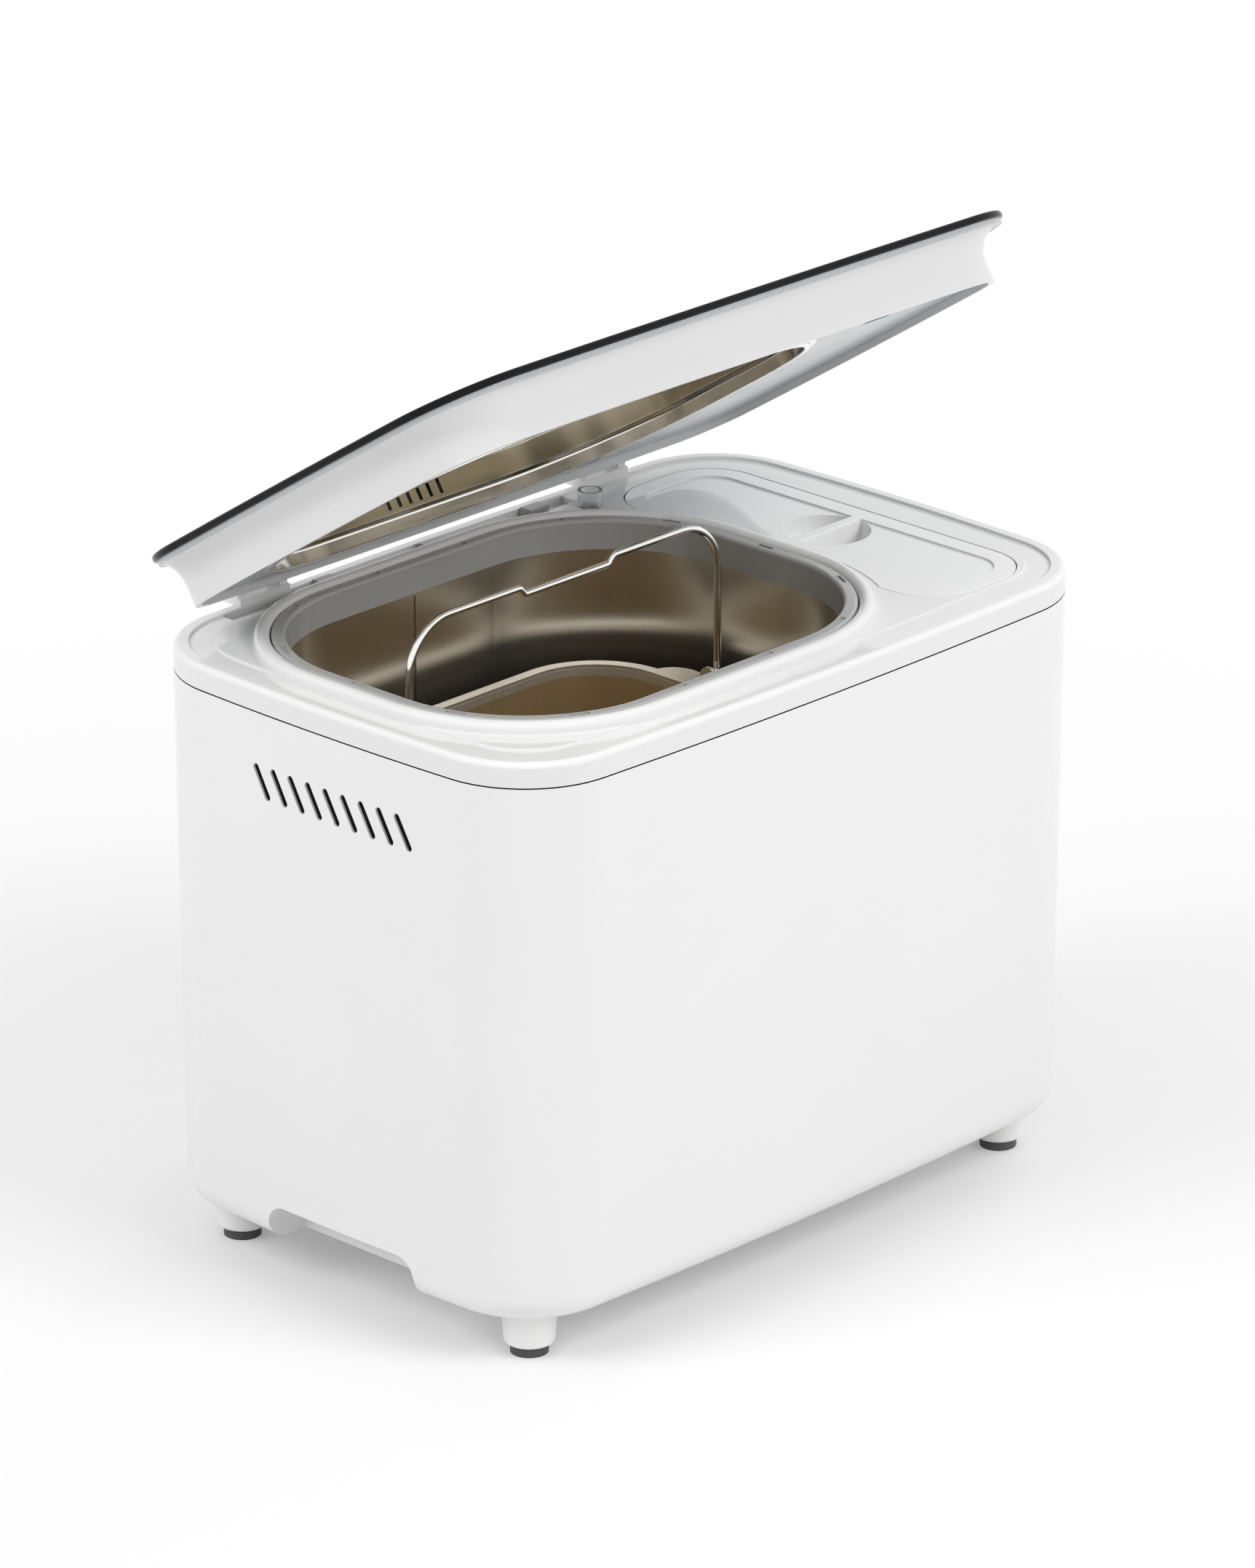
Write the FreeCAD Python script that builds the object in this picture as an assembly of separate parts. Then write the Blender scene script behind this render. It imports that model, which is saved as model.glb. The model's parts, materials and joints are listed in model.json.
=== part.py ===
import FreeCAD, Part
import math
import os

# Bread machine with its lid part open.
# X runs along the long side, Y towards the hinge, Z up; the origin is on the floor under the middle.
# Sizes are in millimetres. The lid is drawn shut and then turned open about its hinge.

Vector = FreeCAD.Vector
EAST = Vector(1, 0, 0)
NORTH = Vector(0, 1, 0)

# Body shell
body_length = 330.0
body_width = 219.0
body_corner = 42.0
side_bow = 4.5
body_draft = 1.5
body_wall = 2.6
body_bottom = 19.0
shell_top = 238.7
bottom_round = 11.0

# Fits between pieces
seam_gap = 0.4
slip = 0.3
running = 0.05
seat_gap = 0.2
past = 1.0

# Vent slots in the left wall
vent_count = 9
vent_pitch = 9.4
vent_length = 15.4
vent_width = 3.0
vent_lean = 29.4
vent_drop = 27.8
left_centre_y = -4.6

# Hand grips low in both short walls
grip_width = 79.0
grip_height = 16.5
grip_depth = 22.0
grip_corner = 9.0
grip_wall = 2.4

# Base plate, feet and their fasteners
base_thick = 3.0
foot_top_diameter = 22.4
foot_low_diameter = 19.7
foot_inset_x = 30.0
foot_inset_y = 30.8
foot_round = 1.5
pad_diameter = 14.9
pad_height = 4.3
screw_diameter = 3.0
screw_head_diameter = 6.4
screw_head_height = 1.6
base_screw_inset = 17.5
base_screw_pitch = 95.0
base_boss_diameter = 9.0
base_boss_height = 20.0
foot_screw_reach = 9.0

# Top deck
deck_height = 10.3
rim_round = 2.4
rim_strip = 5.5
channel_depth = 1.2
deck_thick = 2.5
tongue_drop = 5.0
tongue_wall = 2.0
platform_inset = 15.0
platform_drop = 0.4
platform_round = 0.6
bead_rise = 4.0
bead_width = 6.4
bead_round = 3.0

# Chamber opening, collar and oven chamber
right_bay = 85.6
opening_margin_x = 20.4
opening_margin_y = 21.0
opening_corner = 68.0
collar_drop = 1.0
collar_lip = 6.0
collar_flange = 2.5
collar_wall = 2.4
collar_depth = 12.5
collar_round = 1.4
collar_slot_length = 8.0
collar_slot_width = 2.2
collar_slot_depth = 0.8
collar_slot_count = 14
sheet = 0.8
chamber_round = 9.0
chamber_flange = 5.2

# Hinge trough and stop blocks
trough_width = 8.2
trough_depth = 2.8
trough_from_left = 47.0
trough_from_right = 93.0
stop_width = 10.0
stop_pitch = 58.0
stop_height = 5.0
stop_shift = -6.0
stop_back_gap = 1.6

# Flush cover, its tub and pinch grip
cover_edge_right = 23.0
cover_length = 62.0
cover_edge_y = 20.5
cover_corner = 22.0
cover_gap = 5.0
cover_seam = 0.5
cover_thick = 2.5
cover_round = 0.5
ledge_width = 4.5
ledge_thick = 2.5
ledge_outside = 3.0
tub_wall = 1.8
tub_depth = 62.0
pinch_diameter = 36.0
pinch_depth = 11.0
pinch_wall = 1.6
pinch_ridge = 5.0
pinch_bowl = 8.0
cover_step_inset = 8.5
cover_step_depth = 0.8
pinch_shift = 4.6

# Clear sensor post by the hinge
post_diameter = 10.0
post_bore = 7.3
post_height = 6.9
post_depth = 9.0
post_from_right = 95.0
post_from_back = 23.5
post_foot = 2.0

# Drive train, from the base plate upwards
pulley_lift = 4.0
pulley_width = 10.4
pulley_flange = 1.2
large_groove_diameter = 92.0
motor_groove_diameter = 16.0
pulley_rim = 3.0
pulley_hub_diameter = 26.0
belt_thick = 2.0
belt_side_gap = 0.4
housing_gap = 1.0
housing_drop = 5.5
housing_diameter = 24.0
housing_flange_diameter = 52.0
housing_flange_thick = 2.0
chassis_thick = 1.5
chassis_margin_x = 20.0
chassis_margin_y = 24.5
chassis_corner = 8.0
chassis_post_diameter = 10.0
chassis_post_inset_x = 32.0
chassis_post_inset_y = 9.0
shaft_diameter = 8.0
bush_diameter = 12.0
bush_length = 4.0
coupling_diameter = 38.0
coupling_thick = 3.0
coupling_gap = 1.0
dog_height = 9.0
dog_width = 8.0
dog_depth = 6.0
wing_length = 33.0
wing_width = 7.0
wing_height = 7.0
wing_gap = 0.7
clip_diameter = 13.0
clip_thick = 1.2
clip_gap = 0.1

# Motor and electrics
motor_edge = 47.0
motor_diameter = 62.0
motor_height = 72.0
motor_round = 3.0
motor_boss_diameter = 22.0
motor_boss_height = 6.0
motor_shaft_diameter = 6.0
motor_shaft_tail = 4.0
bracket_margin = 6.0
bracket_thick = 2.0
motor_bolt_offset = 29.0
capacitor_length = 42.0
capacitor_width = 22.0
capacitor_height = 34.0
capacitor_edge = 2.0
board_width = 58.0
board_height = 84.0
board_thick = 1.6
board_lift = 10.0
board_standoff = 4.0
board_bracket_thick = 1.5
board_bracket_foot = 22.0
board_edge = 4.0
standoff_diameter = 6.0
standoff_inset = 6.0
relay_width = 16.0
relay_height = 20.0
relay_depth = 15.0
relay_pitch = 24.0
terminal_length = 40.0
terminal_height = 12.0
terminal_depth = 10.0

# Pan socket, pan, handle and paddle
socket_wall = 6.0
socket_height = 10.0
socket_ledge = 4.0
socket_ledge_height = 2.0
foot_ring_inset = 16.5
foot_ring_wall = 3.0
foot_ring_height = 18.0
pan_rim_drop = 53.0
pan_gap_x = 34.0
pan_gap_y = 28.0
pan_corner = 33.0
pan_draft = 6.0
pan_wall = 1.4
pan_round = 8.0
pan_rim_reach = 4.6
pan_rim_height = 4.0
pan_rim_round = 1.8
ear_reach = 13.0
ear_half_width = 30.0
ear_thick = 1.6
ear_drop = 0.6
ear_corner = 12.0
lug_thick = 1.6
lug_gap = 1.6
lug_half_width = 9.0
lug_rise = 8.2
pivot_rise = 4.2
rivet_diameter = 3.0
rivet_head_diameter = 5.4
rivet_head_height = 1.0
rivet_offset = 6.0
wire_diameter = 3.0
handle_offset = 7.4
handle_rise = 69.4
handle_shoulder = 21.0
handle_elbow = 3.2
handle_end = 0.6
dip_half_length = 26.0
dip_run = 2.8
dip_drop = 3.1
dip_bend = 2.2
pan_bush_diameter = 20.0
pan_bush_drop = 5.4
pan_bush_flange_diameter = 30.0
pan_bush_flange = 2.0
pan_bush_rise = 5.0
paddle_hub_diameter = 17.0
paddle_hub_height = 26.0
paddle_gap = 0.6
paddle_reach = 43.0
paddle_thick = 5.0
paddle_blade_height = 20.0
paddle_round = 2.0
shaft_tip = 2.0

# Heater, probe and cord gland
heater_diameter = 6.4
heater_inset = 13.5
heater_height = 9.0
heater_bend = 42.0
heater_exit_bend = 10.0
heater_exit_gap = 26.0
heater_tail = 12.0
bushing_diameter = 12.0
bushing_length = 5.0
heater_clip_width = 8.0
probe_diameter = 6.0
probe_reach = 9.0
probe_tail = 12.0
probe_height = 68.0
probe_y = -42.0
probe_flange_diameter = 13.0
probe_flange = 2.0
gland_x_edge = 45.0
gland_lift = 27.0
gland_diameter = 16.0
gland_bore = 7.0
gland_flange_diameter = 21.0
gland_flange = 2.5
gland_tail = 8.0
gland_stand = 0.9

# Lid and hinge
lid_open_angle = 32.85
hinge_y_inset = 1.5
hinge_rise = 9.2
hinge_from_end = 70.0
hinge_pin_diameter = 4.0
knuckle_diameter = 8.4
knuckle_length = 18.0
cheek_thick = 4.0
cheek_diameter = 9.6
hinge_base_thick = 3.0
hinge_base_front = 6.3
hinge_base_back = 2.8
lid_gap = 2.0
lid_inset_x = 10.5
lid_inset_y = 9.3
lid_corner = 27.0
lid_shift = 1.6
lid_lean = 3.6
lid_wall = 2.4
cove_start = 9.0
cove_radius = 13.0
frame_height = 19.6
trim_height = 1.7
trim_inset = 1.4
trim_width = 16.0
panel_thick = 3.0
panel_reach = 10.0
panel_round = 1.2
liner_rise = 3.2
liner_thick = 2.0
liner_slot_length = 14.0
liner_slot_width = 5.0
liner_slot_x_edge = 66.0
liner_slot_y_edge = 44.0
lid_boss_diameter = 9.0
lid_boss_inset = 6.4
lid_boss_top = 16.0
lid_screw_from_end = 53.0
lid_screw_reach = 9.0
dish_flange_outside = 1.0
dish_sheet = 0.6
dish_mouth_inset = 4.6
dish_bead_width = 3.4
dish_bead_height = 1.2
dish_bead_inset = 1.4
dish_bead_round = 0.9
dish_step_height = 5.6
dish_step_width = 3.6
dish_clearance = 0.6
dish_round = 2.5
dish_slit_count = 6
dish_slit_pitch = 5.7
dish_slit_width = 1.8
dish_slit_height = 8.0
dish_slit_x = -10.9
post_socket_gap = 1.4
touch_board_length = 56.0
touch_board_width = 120.0
touch_board_thick = 1.6
touch_board_gap = 0.2
touch_board_edge = 22.0

# Places worked out from the sizes above
half_length = body_length / 2
half_width = body_width / 2
vent_height = shell_top - vent_drop
rim_top = shell_top + deck_height
deck_floor = rim_top - channel_depth
deck_under = deck_floor - deck_thick
platform_top = rim_top - platform_drop
bead_top = rim_top + bead_rise
trough_left = half_length - trough_from_left
trough_right = half_length - trough_from_right
gland_height = body_bottom + gland_lift
base_top = body_bottom + base_thick
pulley_bottom = base_top + pulley_lift
pulley_top = pulley_bottom + pulley_width
housing_bottom = pulley_top + housing_gap
chassis_bottom = housing_bottom + housing_drop
chassis_top = chassis_bottom + chassis_thick
chamber_floor = chassis_top + sheet
collar_top = bead_top - collar_drop
chamber_top = collar_top - collar_depth
opening_length = body_length - opening_margin_x - right_bay
opening_half_x = opening_length / 2
opening_half_y = half_width - opening_margin_y
chamber_x = opening_half_x + opening_margin_x - half_length
chassis_half_y = half_width - chassis_margin_y
pan_length = opening_length - 2 * pan_gap_x
pan_width = 2 * (opening_half_y - pan_gap_y)
foot_ring_diameter = pan_width - 2 * foot_ring_inset
pan_rim_top = bead_top - pan_rim_drop
handle_top = pan_rim_top + handle_rise
cover_bottom = platform_top - cover_thick
ledge_bottom = cover_bottom - ledge_thick
tub_bottom = ledge_bottom - tub_depth
cover_x = half_length - cover_edge_right - cover_length / 2
pinch_x = cover_x + pinch_shift
post_x = half_length - post_from_right
post_y = half_width - post_from_back
post_top = platform_top + post_height
motor_x = half_length - motor_edge
housing_top = chamber_floor + socket_ledge_height
coupling_bottom = housing_top + coupling_gap
coupling_top = coupling_bottom + coupling_thick
wing_bottom = coupling_top + wing_gap
pan_foot_bottom = chamber_floor + socket_ledge_height + seat_gap
pan_bottom = pan_foot_bottom + foot_ring_height
pivot_height = pan_rim_top + pivot_rise
handle_half = pan_length / 2 + handle_offset
lid_bottom = rim_top + lid_gap
hinge_y = half_width - hinge_y_inset
hinge_height = lid_bottom + hinge_rise
hinge_half_pitch = half_length - hinge_from_end
lid_screw_x = half_length - lid_screw_from_end
liner_bottom = lid_bottom + liner_rise
liner_top = liner_bottom + liner_thick
dish_ceiling = handle_top + wire_diameter / 2 + dish_clearance
trim_bottom = lid_bottom + frame_height
trim_top = trim_bottom + trim_height


class Plan:
    """A rounded rectangle seen from above, whose sides may bow outwards at their middles."""

    def __init__(self, half_x, half_y, corner, x=0.0, y=0.0, bow=0.0):
        self.half_x = half_x
        self.half_y = half_y
        self.corner = corner
        self.x = x
        self.y = y
        self.bow = bow

    def inset(self, distance, move_y=0.0):
        """The same outline drawn in evenly, or let out where the distance is negative."""
        corner = max(self.corner - distance, 1.0)
        return Plan(self.half_x - distance, self.half_y - distance, corner, self.x, self.y + move_y, self.bow)

    def corner_points(self):
        """End on the short side, middle and end on the long side of the first corner's arc."""
        if self.bow == 0:
            centre = Vector(self.half_x - self.corner, self.half_y - self.corner, 0)
            on_short = centre + Vector(self.corner, 0, 0)
            on_long = centre + Vector(0, self.corner, 0)
        else:
            long_radius = (self.half_x ** 2 + self.bow ** 2) / (2 * self.bow)
            short_radius = (self.half_y ** 2 + self.bow ** 2) / (2 * self.bow)
            long_centre = Vector(0, self.half_y - long_radius, 0)
            short_centre = Vector(self.half_x - short_radius, 0, 0)
            reach_long = long_radius - self.corner
            reach_short = short_radius - self.corner
            between = short_centre - long_centre
            along = (reach_long ** 2 - reach_short ** 2 + between.Length ** 2) / (2 * between.Length)
            across = math.sqrt(reach_long ** 2 - along ** 2)
            direction = Vector(between).normalize()
            normal = Vector(-direction.y, direction.x, 0)
            centre = long_centre + direction * along + normal * across
            if centre.x < 0 or centre.y < 0:
                centre = long_centre + direction * along - normal * across
            on_long = long_centre + (centre - long_centre) * (long_radius / reach_long)
            on_short = short_centre + (centre - short_centre) * (short_radius / reach_short)
        middle = (on_short + on_long) * 0.5 - centre
        return on_short, centre + middle.normalize() * self.corner, on_long

    def wire(self, z):
        """Closed outline at height z."""
        on_short, middle, on_long = self.corner_points()

        def place(point, sign_x, sign_y):
            return Vector(self.x + sign_x * point.x, self.y + sign_y * point.y, z)

        def side(start, through, end):
            if self.bow == 0:
                return Part.LineSegment(start, end).toShape()
            return Part.Arc(start, through, end).toShape()

        top = place(Vector(0, self.half_y, 0), 1, 1)
        left = place(Vector(self.half_x, 0, 0), -1, 1)
        low = place(Vector(0, self.half_y, 0), 1, -1)
        right = place(Vector(self.half_x, 0, 0), 1, 1)
        edges = []
        edges.append(Part.Arc(place(on_short, 1, 1), place(middle, 1, 1), place(on_long, 1, 1)).toShape())
        edges.append(side(place(on_long, 1, 1), top, place(on_long, -1, 1)))
        edges.append(Part.Arc(place(on_long, -1, 1), place(middle, -1, 1), place(on_short, -1, 1)).toShape())
        edges.append(side(place(on_short, -1, 1), left, place(on_short, -1, -1)))
        edges.append(Part.Arc(place(on_short, -1, -1), place(middle, -1, -1), place(on_long, -1, -1)).toShape())
        edges.append(side(place(on_long, -1, -1), low, place(on_long, 1, -1)))
        edges.append(Part.Arc(place(on_long, 1, -1), place(middle, 1, -1), place(on_short, 1, -1)).toShape())
        edges.append(side(place(on_short, 1, -1), right, place(on_short, 1, 1)))
        return Part.Wire(edges)

    def prism(self, bottom, top):
        """Upright solid between two heights."""
        return Part.Face(self.wire(bottom)).extrude(Vector(0, 0, top - bottom))

    def edge_y(self, x):
        """How far the long side stands from the middle line at x."""
        return self.half_y - self.bow * (x / self.half_x) ** 2


def block(x0, x1, y0, y1, z0, z1):
    """Box between two corners given in any order."""
    corner = Vector(min(x0, x1), min(y0, y1), min(z0, z1))
    return Part.makeBox(abs(x1 - x0), abs(y1 - y0), abs(z1 - z0), corner)


def rod(x, y, bottom, top, diameter):
    """Upright cylinder."""
    return Part.makeCylinder(diameter / 2, top - bottom, Vector(x, y, bottom))


def rod_along_x(start, end, y, z, diameter):
    """Cylinder lying along X."""
    return Part.makeCylinder(diameter / 2, end - start, Vector(start, y, z), EAST)


def rod_along_y(x, start, end, z, diameter):
    """Cylinder lying along Y."""
    return Part.makeCylinder(diameter / 2, end - start, Vector(x, start, z), NORTH)


def tube(x, y, bottom, top, outside, bore):
    """Upright ring."""
    return rod(x, y, bottom, top, outside).cut(rod(x, y, bottom - past, top + past, bore))


def joined(first, *others):
    """One solid from pieces that overlap."""
    return first.multiFuse(list(others)).removeSplitter()


def edges_at(shape, height):
    """Edges that lie wholly at one height."""
    found = []
    for edge in shape.Edges:
        box = edge.BoundBox
        if abs(box.ZMin - height) < 0.01 and abs(box.ZMax - height) < 0.01:
            found.append(edge)
    return found


def soften(shape, radius, *heights):
    """Round every edge that lies at the given heights."""
    edges = []
    for height in heights:
        edges.extend(edges_at(shape, height))
    return shape.makeFillet(radius, edges)


def bent_wire(points, bends, diameter):
    """Round wire through straight runs joined by arcs of the given radii."""
    edges = []
    start = points[0]
    for before, corner, after, bend in zip(points, points[1:], points[2:], bends):
        back = Vector(before - corner).normalize()
        ahead = Vector(after - corner).normalize()
        half_angle = back.getAngle(ahead) / 2
        setback = bend / math.tan(half_angle)
        arc_start = corner + back * setback
        arc_end = corner + ahead * setback
        towards = Vector(back + ahead).normalize()
        arc_middle = corner + towards * (bend / math.sin(half_angle) - bend)
        edges.append(Part.LineSegment(start, arc_start).toShape())
        edges.append(Part.Arc(arc_start, arc_middle, arc_end).toShape())
        start = arc_end
    edges.append(Part.LineSegment(start, points[-1]).toShape())
    section = Part.Wire(Part.Circle(points[0], points[1] - points[0], diameter / 2).toShape())
    return Part.Wire(edges).makePipeShell([section], True, False)


def save(name, *solids):
    """Write one node, as a group where it has several solids."""
    shape = solids[0] if len(solids) == 1 else Part.makeCompound(list(solids))
    count = len(shape.Solids)
    print(name, "solids", count, "volume", round(shape.Volume), "valid", shape.isValid())
    shape.exportStep("parts/" + name + ".step")


body_plan = Plan(half_length, half_width, body_corner, bow=side_bow)
opening_plan = Plan(opening_half_x, opening_half_y, opening_corner, x=chamber_x)
bead_plan = opening_plan.inset(-bead_width)
chamber_plan = opening_plan.inset(collar_lip)
cover_plan = Plan(cover_length / 2, half_width - cover_edge_y, cover_corner, x=cover_x)
pan_plan = Plan(pan_length / 2, pan_width / 2, pan_corner, x=chamber_x)
lid_plan = Plan(half_length - lid_inset_x, half_width - lid_inset_y, lid_corner, y=lid_shift, bow=side_bow)
panel_plan = lid_plan.inset(-panel_reach, -lid_lean)
dish_plan = opening_plan.inset(dish_mouth_inset)
dish_well_plan = dish_plan.inset(dish_step_width)


# Body shell, base and feet
def body_solid(inset, bottom, top, corner_round):
    """Body outline between two heights, drawn in by the draft and rounded at the bottom."""
    low = body_plan.inset(inset + body_draft).wire(bottom)
    high = body_plan.inset(inset).wire(top)
    return soften(Part.makeLoft([low, high], True, True), corner_round, bottom)


def grip_block(side, grow):
    """Block that holds a hand grip at one short wall."""
    inner = side * (half_length - grip_depth - grow)
    outer = side * (half_length + past)
    half = grip_width / 2 + grow
    top = body_bottom + grip_height + grow
    return block(inner, outer, left_centre_y - half, left_centre_y + half, body_bottom - past, top)


def grip_cutter(side):
    """Space of a hand grip, with its two upper corners rounded."""
    space = grip_block(side, 0)
    top = body_bottom + grip_height
    edges = []
    for edge in edges_at(space, top):
        if edge.BoundBox.XLength > past:
            edges.append(edge)
    return space.makeFillet(grip_corner, edges)


def vent_cutter(y):
    """One slanted slot through the left wall."""
    half_run = (vent_length - vent_width) / 2
    start = -half_length - past
    end = -half_length + body_wall + body_draft + past
    middle = block(start, end, -vent_width / 2, vent_width / 2, -half_run, half_run)
    upper = rod_along_x(start, end, 0, half_run, vent_width)
    lower = rod_along_x(start, end, 0, -half_run, vent_width)
    slot = joined(middle, upper, lower)
    slot.rotate(Vector(0, 0, 0), EAST, -vent_lean)
    slot.translate(Vector(0, y, vent_height))
    return slot


def base_screw_places():
    """Screw centres along both long sides of the base."""
    y = half_width - body_draft - base_screw_inset
    return [(x, side * y) for x in (-base_screw_pitch, 0, base_screw_pitch) for side in (-1, 1)]


def foot_places():
    """Foot centres near the four corners."""
    x = half_length - foot_inset_x
    y = half_width - foot_inset_y
    return [(side_x * x, side_y * y) for side_x in (-1, 1) for side_y in (-1, 1)]


def gland_place():
    """Centre of the cord gland in the back wall."""
    return half_length - gland_x_edge, gland_height


def body_shell():
    outer = body_solid(0, body_bottom, shell_top, bottom_round)
    cavity_bottom = body_bottom + body_wall
    cavity = body_solid(body_wall, cavity_bottom, shell_top + past, bottom_round - body_wall)
    mouth = body_plan.inset(body_draft + bottom_round).prism(body_bottom - past, cavity_bottom + past)
    shell = outer.cut([cavity, mouth])
    for x, y in base_screw_places():
        boss = rod(x, y, base_top, base_top + base_boss_height, base_boss_diameter)
        rib_half = screw_diameter / 2
        toward = half_width if y > 0 else -half_width
        rib = block(x - rib_half, x + rib_half, y, toward, base_top, base_top + base_boss_height)
        hole = rod(x, y, base_top - past, base_top + base_boss_height - body_wall, screw_diameter)
        shell = joined(shell, boss, rib.common(outer)).cut(hole)
    for side in (-1, 1):
        pocket = grip_block(side, grip_wall).common(outer)
        shell = joined(shell, pocket).cut(grip_cutter(side))
    first_vent = left_centre_y - vent_pitch * (vent_count - 1) / 2
    vents = [vent_cutter(first_vent + vent_pitch * index) for index in range(vent_count)]
    gland_x, gland_z = gland_place()
    gland_hole = rod_along_y(gland_x, half_width - 4 * body_wall, half_width + past, gland_z, gland_diameter)
    return shell.cut(vents + [gland_hole])


def base_plate():
    plate = body_plan.inset(body_draft + bottom_round + slip).prism(body_bottom, base_top)
    tools = [grip_block(side, grip_wall + slip) for side in (-1, 1)]
    for x, y in base_screw_places():
        tools.append(rod(x, y, body_bottom - past, base_top + past, screw_diameter))
        tools.append(rod(x, y, body_bottom - past, body_bottom + screw_head_height, screw_head_diameter))
    for x, y in foot_places():
        tools.append(rod(x, y, body_bottom - past, base_top + past, screw_diameter))
    return plate.cut(tools)


def base_screw(x, y):
    head = rod(x, y, body_bottom, body_bottom + screw_head_height, screw_head_diameter)
    shank = rod(x, y, body_bottom, base_top + base_boss_height - 2 * body_wall, screw_diameter)
    return joined(head, shank)


def foot(x, y):
    height = body_bottom - pad_height
    cone = Part.makeCone(foot_low_diameter / 2, foot_top_diameter / 2, height, Vector(x, y, pad_height))
    cone = soften(cone, foot_round, pad_height)
    return cone.cut(rod(x, y, body_bottom - foot_screw_reach, body_bottom + past, screw_diameter))


def foot_screw(x, y):
    shank = rod(x, y, body_bottom - foot_screw_reach, base_top, screw_diameter)
    return joined(shank, rod(x, y, base_top, base_top + screw_head_height, screw_head_diameter))


def foot_pad(x, y):
    return rod(x, y, 0, pad_height, pad_diameter)


# Top deck, collar and chamber
def cover_region(grow, bottom, top):
    """Rounded rectangle beside the bead, grown evenly, between two heights."""
    plate = cover_plan.inset(-grow).prism(bottom, top)
    return plate.cut(bead_plan.inset(grow - cover_gap).prism(bottom - past, top + past))


def trough_block(grow, bottom, top):
    """Hinge trough behind the chamber opening, grown evenly in plan."""
    back = half_width - rim_strip + grow
    front = half_width - rim_strip - trough_width - grow
    return block(-trough_left - grow, trough_right + grow, front, back, bottom, top)


def top_deck():
    deck = soften(body_plan.prism(shell_top + seam_gap, rim_top), rim_round, rim_top)
    hollow = body_plan.inset(body_wall).prism(shell_top, deck_under)
    channel = body_plan.inset(rim_strip).prism(deck_floor, rim_top + past)
    deck = deck.cut([hollow, channel])
    tongue_plan = body_plan.inset(body_wall + slip)
    tongue = tongue_plan.prism(shell_top - tongue_drop, deck_under + past)
    tongue = tongue.cut(tongue_plan.inset(tongue_wall).prism(shell_top - 2 * tongue_drop, deck_floor))
    platform = body_plan.inset(platform_inset).prism(deck_under, platform_top)
    platform = soften(platform, platform_round, platform_top)
    bead = bead_plan.prism(deck_under, bead_top).cut(opening_plan.prism(deck_under - past, bead_top + past))
    bead = soften(bead, bead_round, bead_top)
    trough_floor = deck_floor - trough_depth
    trough_bottom = trough_floor - deck_thick
    trough_wall = trough_block(body_wall / 2, trough_bottom, deck_floor)
    ledge = cover_region(ledge_outside, ledge_bottom, deck_under + past)
    deck = joined(deck, tongue, platform, trough_wall, ledge)
    deck = deck.cut([
        trough_block(0, trough_floor, rim_top - past),
        opening_plan.prism(ledge_bottom - past, rim_top + past),
        cover_region(cover_seam, cover_bottom, rim_top + past),
        cover_region(-ledge_width, ledge_bottom - past, rim_top + past),
        rod(post_x, post_y, ledge_bottom - past, rim_top + past, post_diameter),
    ])
    return joined(deck, bead)


def hinge_stop(x):
    """Block standing in the trough that the lid's back edge would meet."""
    floor = deck_floor - trough_depth
    back = half_width - rim_strip - stop_back_gap
    front = half_width - rim_strip - trough_width + slip
    stop = block(x - stop_width / 2, x + stop_width / 2, front, back, floor, floor + stop_height)
    return soften(stop, slip, floor + stop_height)


def sensor_post():
    low = platform_top - post_depth
    sleeve = tube(post_x, post_y, low, post_top, post_diameter, post_bore)
    closed = rod(post_x, post_y, low, low + post_foot, post_diameter)
    return joined(sleeve, closed)


def chamber_collar():
    flange = opening_plan.inset(slip).prism(collar_top - collar_flange, collar_top)
    skirt = chamber_plan.inset(-collar_wall).prism(chamber_top, collar_top)
    bore = chamber_plan.prism(chamber_top - past, collar_top + past)
    collar = soften(joined(flange, skirt).cut(bore), collar_round, collar_top)
    middle_line = opening_plan.inset(collar_lip / 2).wire(collar_top - collar_slot_depth)
    points = middle_line.discretize(Number=4 * collar_slot_count + 1)
    cuts = []
    for index in range(2, 4 * collar_slot_count, 4):
        ahead = points[index + 1] - points[index - 1]
        along = collar_slot_length / 2
        across = collar_slot_width / 2
        slot = block(-along, along, -across, across, 0, past + collar_slot_depth)
        slot.rotate(Vector(0, 0, 0), Vector(0, 0, 1), math.degrees(math.atan2(ahead.y, ahead.x)))
        slot.translate(points[index])
        cuts.append(slot)
    return collar.cut(cuts)


def heater_level():
    return chamber_floor + heater_height + heater_diameter / 2


def heater_exits():
    return [chamber_x - heater_exit_gap / 2, chamber_x + heater_exit_gap / 2]


def oven_chamber():
    outer = chamber_plan.inset(-sheet).prism(chassis_top, chamber_top)
    outer = soften(outer, chamber_round + sheet, chassis_top)
    inner = soften(chamber_plan.prism(chamber_floor, chamber_top + past), chamber_round, chamber_floor)
    flange = chamber_plan.inset(-chamber_flange).prism(chamber_top - sheet, chamber_top)
    holes = [rod(chamber_x, 0, chassis_top - past, chamber_floor + past, housing_diameter)]
    wall_y = chamber_plan.half_y
    for x in heater_exits():
        holes.append(rod_along_y(x, wall_y - past, wall_y + sheet + past, heater_level(), bushing_diameter))
    wall_x = chamber_x + chamber_plan.half_x
    probe_z = chamber_floor + probe_height
    start = wall_x - 2 * chamber_round
    holes.append(rod_along_x(start, wall_x + past + sheet, probe_y, probe_z, probe_diameter))
    return joined(outer, flange).cut([inner] + holes)


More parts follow.
